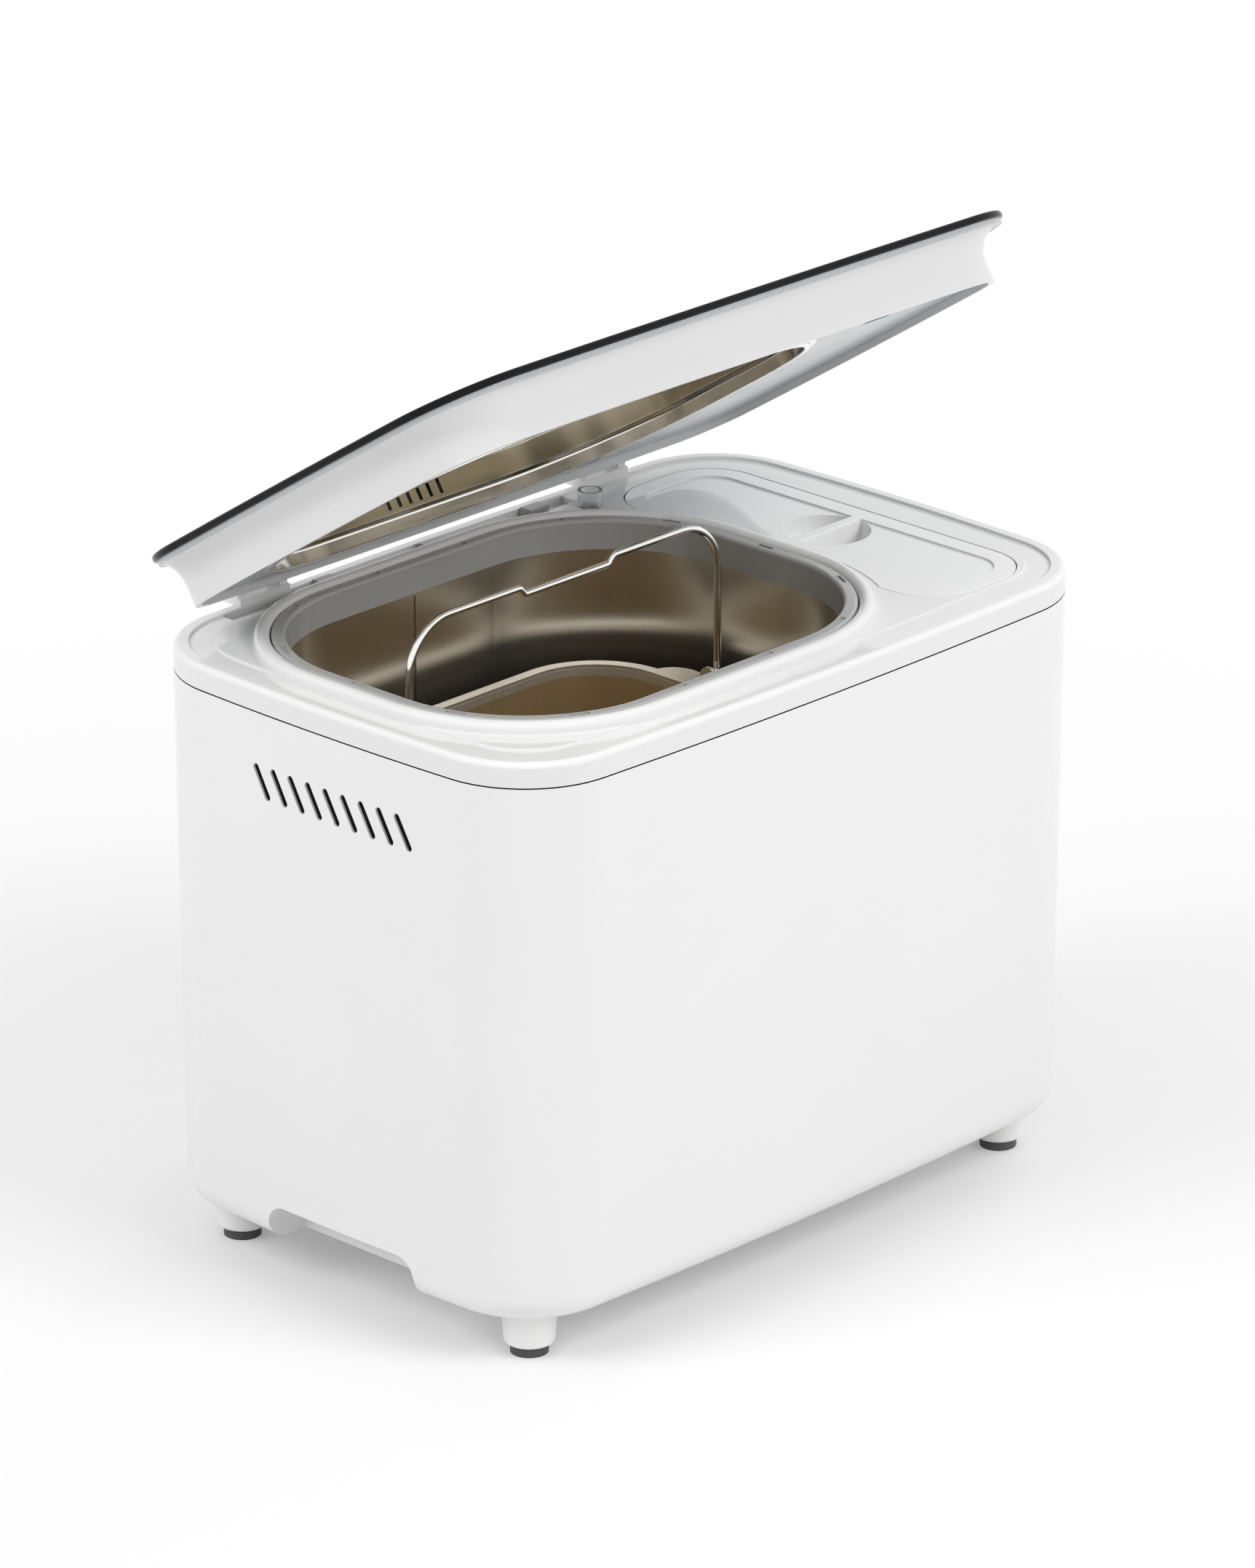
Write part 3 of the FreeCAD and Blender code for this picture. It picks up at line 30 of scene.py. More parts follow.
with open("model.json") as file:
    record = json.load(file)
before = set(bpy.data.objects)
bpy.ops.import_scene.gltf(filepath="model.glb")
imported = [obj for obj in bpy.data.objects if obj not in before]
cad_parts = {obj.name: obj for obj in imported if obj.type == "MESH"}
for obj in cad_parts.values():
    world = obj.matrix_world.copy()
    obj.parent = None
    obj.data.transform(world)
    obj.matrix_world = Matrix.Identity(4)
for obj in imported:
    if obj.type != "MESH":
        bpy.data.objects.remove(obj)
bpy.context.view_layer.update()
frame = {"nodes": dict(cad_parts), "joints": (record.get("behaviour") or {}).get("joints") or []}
nodes = frame["nodes"]
scene = bpy.context.scene

# Camera, set from the photograph's perspective
CAMERA_PLACE = (-2.2968, -2.1943, 1.4185)
CAMERA_AIM = (0.01295, 0.01082, 0.16587)
CAMERA_LENS = 200.5
CAMERA_SENSOR = 36.0
CAMERA_REACH = 50.0

# Solids and the joint that the looks are placed by
shell_low, shell_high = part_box("body_shell")
cover_low, cover_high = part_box("storage_cover")
chamber_low, chamber_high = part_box("oven_chamber")
deck_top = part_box("top_deck")[1].z
pan_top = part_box("bread_pan")[1].z
lid_hinge = next(joint for joint in frame["joints"] if joint["name"] == "lid_hinge")
LID_ANGLE = math.radians(-lid_hinge["range_deg"][0])

# Painted shade in the gaps between shell and deck, and down the sides of the cover's seam
DECK_GAP = 0.0004
GAP_EDGE = 0.0001
DECK_BOTTOM = shell_high.z + DECK_GAP
COVER_EDGE = 0.0010
SEAM_REACH = 0.0015
SEAM_REACH_LEFT = 0.0065
SEAM_TOP = cover_high.z - COVER_EDGE
SEAM_LEFT = cover_low.x - SEAM_REACH_LEFT
SEAM_RIGHT = cover_high.x + SEAM_REACH
SEAM_HALF_WIDTH = cover_high.y + SEAM_REACH

# Zones of one solid that differ in colour, and the height over which each fades
# The deck's upright band is painted shade: a little darker than the body's white and well below the deck's
# lightened top
DECK_RIM_DEPTH = 0.0068
BAND_TOP = deck_top - DECK_RIM_DEPTH
BAND_FADE = 0.0016
PAN_RIM_DEPTH = 0.0048
PAN_RIM_LOW = pan_top - PAN_RIM_DEPTH
PAN_RIM_FADE = 0.0006
# Painted shade: the chamber's lower walls darken down towards the pan, standing in for the shadow there
PAINTED_SHADE_BELOW_RIM = 0.002
PAINTED_SHADE_FADE = 0.012
PAINTED_SHADE_TOP = pan_top - PAINTED_SHADE_BELOW_RIM
PAINTED_SHADE_STRENGTH = 0.85
DISH_RING_TOP = -0.0010
DISH_RING_FADE = 0.0008

# Weld line on the chamber's back wall
CHAMBER_X = (chamber_low.x + chamber_high.x) / 2
CHAMBER_FLANGE = 0.0052
CHAMBER_BACK = chamber_high.y - CHAMBER_FLANGE
WELD_START = 0.0156
WELD_STOP = 0.0010
WELD_LOW = chamber_low.z + WELD_START
WELD_TOP = chamber_high.z - WELD_STOP
WELD_HALF_WIDTH = 0.0005
WELD_RISE = 0.0002
WELD_RIPPLE = 0.12
WELD_RIPPLE_RATE = 2200.0
WELD_GRID = (40, 13)

# Vent slots in the bowed left wall, and the dark sheet behind them, which is painted shade for the dark
# inside of the slots
WALL_OUTSIDE_X = shell_low.x
WALL_BOW = 0.0045
WALL_BOW_REACH = shell_high.y
SLOT_LIT_DEPTH = 0.00107
SLOT_DARK_DEPTH = 0.010
SHADE_SHEET_SETBACK = 0.00287
SHADE_SHEET_X = WALL_OUTSIDE_X + SHADE_SHEET_SETBACK
SHADE_SHEET_Y = -0.0046
SHADE_SHEET_Z = 0.2109
SHADE_SHEET_HALF_WIDTH = 0.052
SHADE_SHEET_HALF_HEIGHT = 0.014
SHADE_SHEET_DEPTH = 0.004
SHADE_SHEET_FLATNESS = 10
SHADE_SHEET_GRID = (41, 25)

# Printed touch marks on the lid's black panel, measured on the shut lid from the hinge line
KEYS_X = 0.115
KEYS_DEPTH = 0.135
KEY_COLUMNS = 2
KEY_ROWS = 4
KEY_PITCH = 0.021
KEY_RADIUS = 0.0068
PRINT_LINE = 0.0007
DISPLAY_DEPTH = 0.066
DISPLAY_HALF_WIDTH = 0.022
DISPLAY_HALF_HEIGHT = 0.017
DISPLAY_CORNER = 0.004
PANEL_TOP = 0.0151
PRINT_SKIN = 0.0006

# Lamps: place, height of the point faced on the upright axis, size and watts
LAMPS = {
    "front_side": dict(place=(0.40, -2.25, 2.04), aim=0.25, size=(1.5, 1.3), power=37.0),
    "left_side": dict(place=(-2.17, 0.71, 2.04), aim=0.25, size=(1.5, 1.3), power=31.5),
    "right_side": dict(place=(2.17, 0.25, 1.35), aim=0.25, size=(1.3, 1.0), power=9.0),
    "overhead": dict(place=(-0.3, 0.2, 2.2), aim=0.2, size=(1.8, 1.8), power=3.0),
}

# Surroundings
AMBIENT = 0.55
FLOOR_HALF = 12.0
FLOOR_GREY = 0.88
FLOOR_LIFT = 0.2
FLOOR_FADE_START = 0.25
FLOOR_FADE_END = 0.70

# Surface effects: the span that most of a noise lies in, and the height of all relief
NOISE_LOW = 0.3
NOISE_HIGH = 0.7
RELIEF_DEPTH = 0.0001
BRUSH_STRETCH = 0.7

FLOAT = "NodeSocketFloat"
COLOUR = "NodeSocketColor"
VECTOR = "NodeSocketVector"


def aim_camera():
    """A long lens at the photograph's angle, with everything in focus."""
    data = bpy.data.cameras.new("camera")
    data.lens = CAMERA_LENS
    data.sensor_width = CAMERA_SENSOR
    data.sensor_fit = "AUTO"
    data.clip_end = CAMERA_REACH
    camera = bpy.data.objects.new("camera", data)
    scene.collection.objects.link(camera)
    direction = np.array(CAMERA_AIM) - np.array(CAMERA_PLACE)
    flat = math.hypot(direction[0], direction[1])
    camera.location = CAMERA_PLACE
    camera.rotation_euler = (
        math.pi / 2 + math.atan2(direction[2], flat),
        0.0,
        math.atan2(direction[1], direction[0]) - math.pi / 2,
    )
    scene.camera = camera


# Node helpers
def rgba(colour):
    """Opaque colour for a socket."""
    return (*colour, 1.0)


def link(tree, source, target):
    """Join an output to an input."""
    tree.links.new(source, target)


def feed(tree, value, socket):
    """Give an input its value, which is another socket or a plain number, colour or vector."""
    if hasattr(value, "links"):
        link(tree, value, socket)
    else:
        socket.default_value = value


def node(tree, kind, **values):
    """New node with its properties set by name and its inputs by their label."""
    made = tree.nodes.new(kind)
    for label, value in values.items():
        if hasattr(made, label):
            setattr(made, label, value)
        else:
            made.inputs[label.replace("_", " ")].default_value = value
    return made


def mixed_colour(tree, mask, first, second):
    """Colour that goes from first to second as the mask goes from 0 to 1."""
    made = node(tree, "ShaderNodeMix", data_type="RGBA")
    link(tree, mask, made.inputs[0])
    feed(tree, first, made.inputs[6])
    feed(tree, second, made.inputs[7])
    return made.outputs[2]


def ranged(tree, value, low, high, to_low, to_high):
    """Value carried evenly from one range to another and held at its ends; the limits may be sockets."""
    made = node(tree, "ShaderNodeMapRange", clamp=True)
    link(tree, value, made.inputs[0])
    for socket, limit in zip(made.inputs[1:5], (low, high, to_low, to_high)):
        feed(tree, limit, socket)
    return made.outputs[0]


def maths(tree, operation, *values):
    """One arithmetic step on sockets or numbers."""
    made = node(tree, "ShaderNodeMath", operation=operation)
    for socket, value in zip(made.inputs, values):
        feed(tree, value, socket)
    return made.outputs[0]


def noise(tree, vector, scale, detail=2.0, roughness=0.5):
    """Soft random value over the surface."""
    made = node(tree, "ShaderNodeTexNoise", Detail=detail, Roughness=roughness)
    link(tree, vector, made.inputs["Vector"])
    feed(tree, scale, made.inputs["Scale"])
    return made.outputs[0]


def axes_of(tree, vector):
    """X, Y and Z of a vector as three sockets."""
    made = node(tree, "ShaderNodeSeparateXYZ")
    link(tree, vector, made.inputs[0])
    return made.outputs[:]


def both(tree, *masks):
    """Mask that is one where all the masks are."""
    mask = masks[0]
    for other in masks[1:]:
        mask = maths(tree, "MULTIPLY", mask, other)
    return mask


def between(tree, value, low, high):
    """One where a value lies between two limits."""
    return both(tree, maths(tree, "GREATER_THAN", value, low), maths(tree, "LESS_THAN", value, high))


def seen_rays(tree):
    """One for rays that the eye follows, straight or by gloss or clear plastic, and zero for others."""
    path = node(tree, "ShaderNodeLightPath")
    seen = maths(tree, "MAXIMUM", path.outputs["Is Camera Ray"], path.outputs["Is Glossy Ray"])
    return maths(tree, "MAXIMUM", seen, path.outputs["Is Transmission Ray"])


# Shared surface effects
def shared_out(tree, first, second, share):
    """Sum of two values, the first with its share and the second with the rest."""
    rest = maths(tree, "MULTIPLY", second, 1.0 - share)
    return maths(tree, "MULTIPLY_ADD", first, share, rest)


def new_effect(name, own_label, own_kind, own_value):
    """Empty effect with colours, gloss limits and one value of its own; gives tree, entry and exit."""
    tree = bpy.data.node_groups.new(name, "ShaderNodeTree")
    inputs = {
        "Vector": VECTOR,
        "Light colour": COLOUR,
        "Dark colour": COLOUR,
        "Smooth": FLOAT,
        "Rough": FLOAT,
    }
    outputs = {"Colour": COLOUR, "Roughness": FLOAT, "Height": FLOAT}
    for label, kind in inputs.items():
        tree.interface.new_socket(name=label, in_out="INPUT", socket_type=kind)
    own = tree.interface.new_socket(name=own_label, in_out="INPUT", socket_type=own_kind)
    own.default_value = own_value
    for label, kind in outputs.items():
        tree.interface.new_socket(name=label, in_out="OUTPUT", socket_type=kind)
    return tree, node(tree, "NodeGroupInput"), node(tree, "NodeGroupOutput")


def two_tone(tree, entry, mask):
    """The effect's light colour, going to its dark one with the mask."""
    return mixed_colour(tree, mask, entry.outputs["Light colour"], entry.outputs["Dark colour"])


def uneven_gloss(tree, entry, value, low, high):
    """The effect's gloss, from smooth to rough as a value goes from low to high."""
    return ranged(tree, value, low, high, entry.outputs["Smooth"], entry.outputs["Rough"])


def close_effect(tree, leave, colour, roughness, height):
    """Hand the three results to the effect's outputs."""
    link(tree, colour, leave.inputs["Colour"])
    link(tree, roughness, leave.inputs["Roughness"])
    link(tree, height, leave.inputs["Height"])
    return tree


def moulded_effect():
    """Moulded plastic: broad faint clouding of the colour, uneven gloss and a fine orange-peel height."""
    tree, entry, leave = new_effect("moulded_skin", "Peel scale", FLOAT, 500.0)
    vector = entry.outputs["Vector"]
    cloud = noise(tree, vector, scale=14.0, detail=3.0)
    handled = noise(tree, vector, scale=55.0, detail=4.0, roughness=0.6)
    peel = noise(tree, vector, scale=entry.outputs["Peel scale"])
    colour = two_tone(tree, entry, ranged(tree, cloud, NOISE_LOW, NOISE_HIGH, 0.0, 1.0))
    gloss = uneven_gloss(tree, entry, handled, NOISE_LOW, NOISE_HIGH)
    return close_effect(tree, leave, colour, gloss, peel)


def brushed_effect():
    """Brushed sheet: long fine streaks along one axis in colour, gloss and height, over broad stains."""
    tree, entry, leave = new_effect("brushed_sheet", "Streaks", VECTOR, (40.0, 40.0, 4000.0))
    vector = entry.outputs["Vector"]
    stretched = node(tree, "ShaderNodeVectorMath", operation="MULTIPLY")
    link(tree, vector, stretched.inputs[0])
    link(tree, entry.outputs["Streaks"], stretched.inputs[1])
    streak = noise(tree, stretched.outputs[0], scale=1.0, detail=3.0, roughness=0.6)
    stain = noise(tree, vector, scale=26.0, detail=3.0, roughness=0.55)
    mask_low, mask_high = 0.32, 0.68
    mask = ranged(tree, shared_out(tree, streak, stain, share=0.65), mask_low, mask_high, 0.0, 1.0)
    colour = two_tone(tree, entry, mask)
    gloss = uneven_gloss(tree, entry, mask, 0.0, 1.0)
    return close_effect(tree, leave, colour, gloss, streak)


def coated_effect():
    """Coated or cast metal: fine speckle over slow clouding, with a slightly pebbled height."""
    tree, entry, leave = new_effect("coated_metal", "Speck scale", FLOAT, 2500.0)
    vector = entry.outputs["Vector"]
    speck = noise(tree, vector, scale=entry.outputs["Speck scale"], roughness=0.7)
    cloud = noise(tree, vector, scale=30.0, detail=3.0)
    mask_low, mask_high = 0.35, 0.65
    mask = ranged(tree, shared_out(tree, speck, cloud, share=0.5), mask_low, mask_high, 0.0, 1.0)
    colour = two_tone(tree, entry, mask)
    gloss = uneven_gloss(tree, entry, cloud, NOISE_LOW, NOISE_HIGH)
    return close_effect(tree, leave, colour, gloss, speck)


MOULDED = moulded_effect()
BRUSHED = brushed_effect()
COATED = coated_effect()


# Masks on the solids' own coordinates
def shut_lid_axes(tree, place):
    """X, Y and Z measured from the hinge line on the shut lid."""
    from_hinge = node(tree, "ShaderNodeVectorMath", operation="SUBTRACT")
    link(tree, place, from_hinge.inputs[0])
    from_hinge.inputs[1].default_value = lid_hinge["pos_m"]
    shut = node(tree, "ShaderNodeMapping", Rotation=(LID_ANGLE, 0.0, 0.0))
    link(tree, from_hinge.outputs[0], shut.inputs["Vector"])
    return axes_of(tree, shut.outputs[0])


def shell_gap_painted_shade(tree, place):
    """Painted shade on the shell's top edge under the deck, and on the vent slots' sides behind the outer
    skin.
    """
    x, y, z = axes_of(tree, place)
    bow = maths(tree, "MULTIPLY", maths(tree, "MULTIPLY", y, y), WALL_BOW / WALL_BOW_REACH ** 2)
    depth = maths(tree, "SUBTRACT", maths(tree, "SUBTRACT", x, WALL_OUTSIDE_X), bow)
    slots = both(
        tree,
        between(tree, depth, SLOT_LIT_DEPTH, SLOT_DARK_DEPTH),
        between(tree, y, SHADE_SHEET_Y - SHADE_SHEET_HALF_WIDTH, SHADE_SHEET_Y + SHADE_SHEET_HALF_WIDTH),
        between(tree, z, SHADE_SHEET_Z - SHADE_SHEET_HALF_HEIGHT, SHADE_SHEET_Z + SHADE_SHEET_HALF_HEIGHT),
    )
    return maths(tree, "MAXIMUM", slots, maths(tree, "GREATER_THAN", z, shell_high.z - GAP_EDGE))


def deck_gap_painted_shade(tree, place):
    """Painted shade on the deck's bottom edge over the shell, and on the sides of the cover's seam."""
    x, y, z = axes_of(tree, place)
    seam = both(
        tree,
        between(tree, x, SEAM_LEFT, SEAM_RIGHT),
        between(tree, y, -SEAM_HALF_WIDTH, SEAM_HALF_WIDTH),
        maths(tree, "LESS_THAN", z, SEAM_TOP),
    )
    return maths(tree, "MAXIMUM", seam, maths(tree, "LESS_THAN", z, DECK_BOTTOM + GAP_EDGE))


def deck_band_painted_shade(tree, place):
    """The deck's upright band below its rounded rim, painted darker than the deck's lightened top as painted
    shade for the front-lit band.
    """
    return ranged(tree, axes_of(tree, place)[2], BAND_TOP, BAND_TOP + BAND_FADE, 1.0, 0.0)


def pan_rim(tree, place):
    """The pan's rolled rim, above its coated walls."""
    return ranged(tree, axes_of(tree, place)[2], PAN_RIM_LOW, PAN_RIM_LOW + PAN_RIM_FADE, 0.0, 1.0)


def chamber_painted_shade(tree, place):
    """Painted shade on the chamber's lower walls, darker towards the bottom next to the pan."""
    return ranged(tree, axes_of(tree, place)[2], PAINTED_SHADE_TOP - PAINTED_SHADE_FADE, PAINTED_SHADE_TOP, PAINTED_SHADE_STRENGTH, 0.0)


def dish_ring(tree, place):
    """The dish's polished flange, bead and step, below its well on the shut lid."""
    height = shut_lid_axes(tree, place)[2]
    return ranged(tree, height, DISH_RING_TOP, DISH_RING_TOP + DISH_RING_FADE, 1.0, 0.0)


def printed_line(tree, distance):
    """One on a printed line and zero off it, from the distance to its middle."""
    return ranged(tree, maths(tree, "ABSOLUTE", distance), PRINT_LINE / 2, PRINT_LINE, 1.0, 0.0)


def length_of(tree, first, second):
    """Length of a flat vector from its two parts."""
    squares = maths(tree, "MULTIPLY_ADD", first, first, maths(tree, "MULTIPLY", second, second))
    return maths(tree, "SQRT", squares)


def key_rings(tree, across, along):
    """Mask of touch rings: one ring in each cell of a grid of columns and rows."""
    cells = []
    limits = []
    for value, count in ((across, KEY_COLUMNS), (along, KEY_ROWS)):
        steps = maths(tree, "MULTIPLY_ADD", value, 1.0 / KEY_PITCH, count / 2)
        limits.append(between(tree, steps, 0.0, count))
        cells.append(maths(tree, "SUBTRACT", maths(tree, "FRACT", steps), 0.5))
    radius = maths(tree, "MULTIPLY", length_of(tree, *cells), KEY_PITCH)
    return both(tree, printed_line(tree, maths(tree, "SUBTRACT", radius, KEY_RADIUS)), *limits)


def display_outline(tree, across, along):
    """Mask of a rounded rectangle's line, from the distance to its edge."""
    up = maths(tree, "SUBTRACT", along, DISPLAY_DEPTH)
    reach = []
    for value, half in ((across, DISPLAY_HALF_WIDTH), (up, DISPLAY_HALF_HEIGHT)):
        over = maths(tree, "SUBTRACT", maths(tree, "ABSOLUTE", value), half - DISPLAY_CORNER)
        reach.append(maths(tree, "MAXIMUM", over, 0.0))
    return printed_line(tree, maths(tree, "SUBTRACT", length_of(tree, *reach), DISPLAY_CORNER))


def touch_marks(tree, place):
    """Plain printed rings and a display outline on top of the panel."""
    x, y, z = shut_lid_axes(tree, place)
    across = maths(tree, "SUBTRACT", x, KEYS_X)
    along = maths(tree, "ADD", y, KEYS_DEPTH)
    marks = maths(tree, "MAXIMUM", key_rings(tree, across, along), display_outline(tree, across, along))
    return both(tree, marks, maths(tree, "GREATER_THAN", z, PANEL_TOP - PRINT_SKIN))


# Finishes made from the shared effects
FINISHES = {
    "white_body": dict(
        group=MOULDED, light=(0.80, 0.80, 0.798), dark=(0.79, 0.79, 0.79), smooth=0.10, rough=0.15,
        bump=0.02, Peel_scale=420.0),
    # Painted light: the deck's white is lighter than the body's, to make up for the shade the open lid casts
    # on it
    "white_deck_painted_light": dict(
        group=MOULDED, light=(0.85, 0.85, 0.848), dark=(0.84, 0.84, 0.84), smooth=0.05, rough=0.08,
        bump=0.01, Peel_scale=300.0),
    # Painted light: the cover's white is lighter still, for the deeper shade under the lid
    "white_cover_painted_light": dict(
        group=MOULDED, light=(0.90, 0.90, 0.898), dark=(0.89, 0.89, 0.89), smooth=0.05, rough=0.08,
        bump=0.01, Peel_scale=300.0),
    "white_satin": dict(
        group=MOULDED, light=(0.86, 0.86, 0.855), dark=(0.83, 0.83, 0.825), smooth=0.28, rough=0.40,
        bump=0.04, Peel_scale=600.0),
    "lid_white": dict(
        group=MOULDED, light=(0.71, 0.71, 0.71), dark=(0.695, 0.695, 0.695), smooth=0.08, rough=0.14,
        bump=0.01, Peel_scale=300.0),
    "lid_black": dict(
        group=MOULDED, light=(0.010, 0.010, 0.011), dark=(0.006, 0.006, 0.007), smooth=0.06, rough=0.12,
        bump=0.01, Peel_scale=200.0, shine={"IOR": 1.3, "Specular IOR Level": 0.3}),
    "trim_grey": dict(
        group=MOULDED, light=(0.46, 0.47, 0.48), dark=(0.42, 0.43, 0.44), smooth=0.18, rough=0.28,
        bump=0.01, Peel_scale=700.0),
    "liner_grey": dict(
        group=MOULDED, light=(0.50, 0.54, 0.58), dark=(0.47, 0.51, 0.55), smooth=0.16, rough=0.24,
        bump=0.005, Peel_scale=250.0),
    "collar_grey": dict(
        group=MOULDED, light=(0.46, 0.46, 0.455), dark=(0.44, 0.44, 0.435), smooth=0.14, rough=0.20,
        bump=0.01, Peel_scale=300.0),
    # Painted shade: the hinge stops are grey for the shade they sit in, in the trough under the lid
    "stop_grey_painted_shade": dict(
        group=MOULDED, light=(0.36, 0.36, 0.36), dark=(0.32, 0.32, 0.32), smooth=0.25, rough=0.40,
        bump=0.03, Peel_scale=900.0),
    "black_satin": dict(
        group=MOULDED, light=(0.035, 0.035, 0.036), dark=(0.022, 0.022, 0.023), smooth=0.35, rough=0.55,
        bump=0.1, Peel_scale=1500.0),
    "pad_rubber": dict(
        group=COATED, light=(0.085, 0.085, 0.085), dark=(0.06, 0.06, 0.06), smooth=0.5, rough=0.7,
        bump=0.3),
    "belt_rubber_look": dict(
        group=COATED, light=(0.03, 0.03, 0.03), dark=(0.018, 0.018, 0.018), smooth=0.55, rough=0.75,
        bump=0.4),
    "chamber_steel": dict(
        group=BRUSHED, light=(0.94, 0.89, 0.79), dark=(0.91, 0.85, 0.74), smooth=0.23, rough=0.26,
        metallic=0.95, bump=0.002, Streaks=(20.0, 20.0, 700.0)),
    "dish_steel": dict(
        group=BRUSHED, light=(0.58, 0.53, 0.43), dark=(0.53, 0.48, 0.38), smooth=0.12, rough=0.18,
        metallic=1.0, bump=0.003, Streaks=(30.0, 900.0, 900.0)),
    "pan_coat": dict(
        group=COATED, light=(0.84, 0.69, 0.44), dark=(0.79, 0.64, 0.40), smooth=0.26, rough=0.34,
        metallic=0.85, bump=0.02),
    "wire_chrome": dict(
        group=BRUSHED, light=(0.95, 0.94, 0.92), dark=(0.90, 0.89, 0.87), smooth=0.08, rough=0.16,
        metallic=1.0, bump=0.01, Streaks=(1500.0, 1500.0, 60.0)),
    "bright_steel": dict(
        group=BRUSHED, light=(0.66, 0.65, 0.63), dark=(0.56, 0.55, 0.54), smooth=0.22, rough=0.38,
        metallic=1.0, bump=0.05, Streaks=(2000.0, 80.0, 80.0)),
    "zinc_sheet": dict(
        group=COATED, light=(0.56, 0.57, 0.58), dark=(0.44, 0.45, 0.46), smooth=0.34, rough=0.5,
        metallic=1.0, bump=0.06, Speck_scale=400.0),
    "brass": dict(
        group=BRUSHED, light=(0.70, 0.52, 0.24), dark=(0.58, 0.42, 0.18), smooth=0.22, rough=0.36,
        metallic=1.0, bump=0.06, Streaks=(80.0, 80.0, 2500.0)),
    "motor_paint": dict(
        group=COATED, light=(0.30, 0.31, 0.33), dark=(0.22, 0.23, 0.25), smooth=0.35, rough=0.5,
        metallic=0.6, bump=0.2, Speck_scale=1500.0),
    "board_green": dict(
        group=COATED, light=(0.03, 0.16, 0.07), dark=(0.02, 0.11, 0.05), smooth=0.3, rough=0.45,
        bump=0.1, Speck_scale=600.0),
    "paddle_coat": dict(
        group=COATED, light=(0.34, 0.31, 0.27), dark=(0.26, 0.24, 0.21), smooth=0.3, rough=0.45,
        metallic=1.0, bump=0.15),
    "insulator": dict(
        group=COATED, light=(0.80, 0.78, 0.73), dark=(0.70, 0.68, 0.63), smooth=0.5, rough=0.7,
        bump=0.2),
    "weld_steel": dict(
        group=COATED, light=(0.30, 0.27, 0.21), dark=(0.22, 0.19, 0.15), smooth=0.35, rough=0.5,
        metallic=1.0, bump=0.1),
    # Painted shade: the near black of the sheet behind the vent slots
    "painted_shade_sheet": dict(
        group=COATED, light=(0.022, 0.022, 0.022), dark=(0.014, 0.014, 0.014), smooth=0.6, rough=0.8,
        bump=0.1),
}

# Second colours laid over a finish: the finish, where, and the colour
OVERPRINTS = [
    # Painted shade: black on the shell's top edge under the deck and on the vent slots' sides
    ("white_body", shell_gap_painted_shade, (0.03, 0.03, 0.03)),
    # Painted shade: the deck's front-lit band, darker than its lightened top
    ("white_deck_painted_light", deck_band_painted_shade, (0.76, 0.76, 0.76)),
    # Painted shade: near black on the deck's bottom edge and down the sides of the cover's seam
    ("white_deck_painted_light", deck_gap_painted_shade, (0.05, 0.05, 0.05)),
    ("pan_coat", pan_rim, (0.96, 0.94, 0.89)),
    # Painted shade: near black on the chamber's lower walls, fading out upwards
    ("chamber_steel", chamber_painted_shade, (0.09, 0.08, 0.065)),
    ("dish_steel", dish_ring, (0.88, 0.87, 0.84)),
    ("lid_black", touch_marks, (0.42, 0.43, 0.44)),
]

# Which solids wear each finish
WEARERS = {
    "white_body": ["body_shell"],
    "white_deck_painted_light": ["top_deck", "hinge_brackets"],
    "white_cover_painted_light": ["storage_cover"],
    "white_satin": ["base_plate", "feet", "storage_tub"],
    "lid_white": ["lid_frame"],
    "lid_black": ["lid_top_panel"],
    "trim_grey": ["lid_trim"],
    "liner_grey": ["lid_liner"],
    "collar_grey": ["chamber_collar"],
    "stop_grey_painted_shade": ["hinge_stops"],
    "black_satin": ["cord_gland", "motor_capacitor", "board_parts", "large_pulley", "motor_pulley"],
    "pad_rubber": ["foot_pads"],
    "belt_rubber_look": ["drive_belt"],
    "chamber_steel": ["oven_chamber"],
    "dish_steel": ["lid_dish"],
    "pan_coat": ["bread_pan", "pan_ears", "ear_rivets"],
    "wire_chrome": ["pan_handle"],
    "bright_steel": [
        "base_screws", "foot_screws", "heating_element", "temperature_probe", "drive_shaft", "shaft_clip",
        "drive_coupling", "motor_shaft", "motor_bolts", "pan_shaft", "pan_wing", "lid_screws", "hinge_pins",
        "pan_foot_ring"],
    "zinc_sheet": [
        "heater_clips", "chassis_plate", "chassis_posts", "bearing_housing", "motor_bracket", "board_bracket",
        "pan_socket"],
    "brass": ["bearing_bushes", "board_standoffs", "pan_bush"],
    "motor_paint": ["motor_case"],
    "board_green": ["power_board", "touch_board"],
    "paddle_coat": ["kneading_paddle"],
    "insulator": ["heater_bushings"],
    "clear_plastic_look": ["sensor_post"],
}


# Materials
def blank_material(name):
    """Material with only a Principled shader; gives it, its tree, the shader and the object coordinates."""
    material = bpy.data.materials.new(name)
    material.use_nodes = True
    tree = material.node_tree
    return material, tree, tree.nodes["Principled BSDF"], node(tree, "ShaderNodeTexCoord").outputs["Object"]


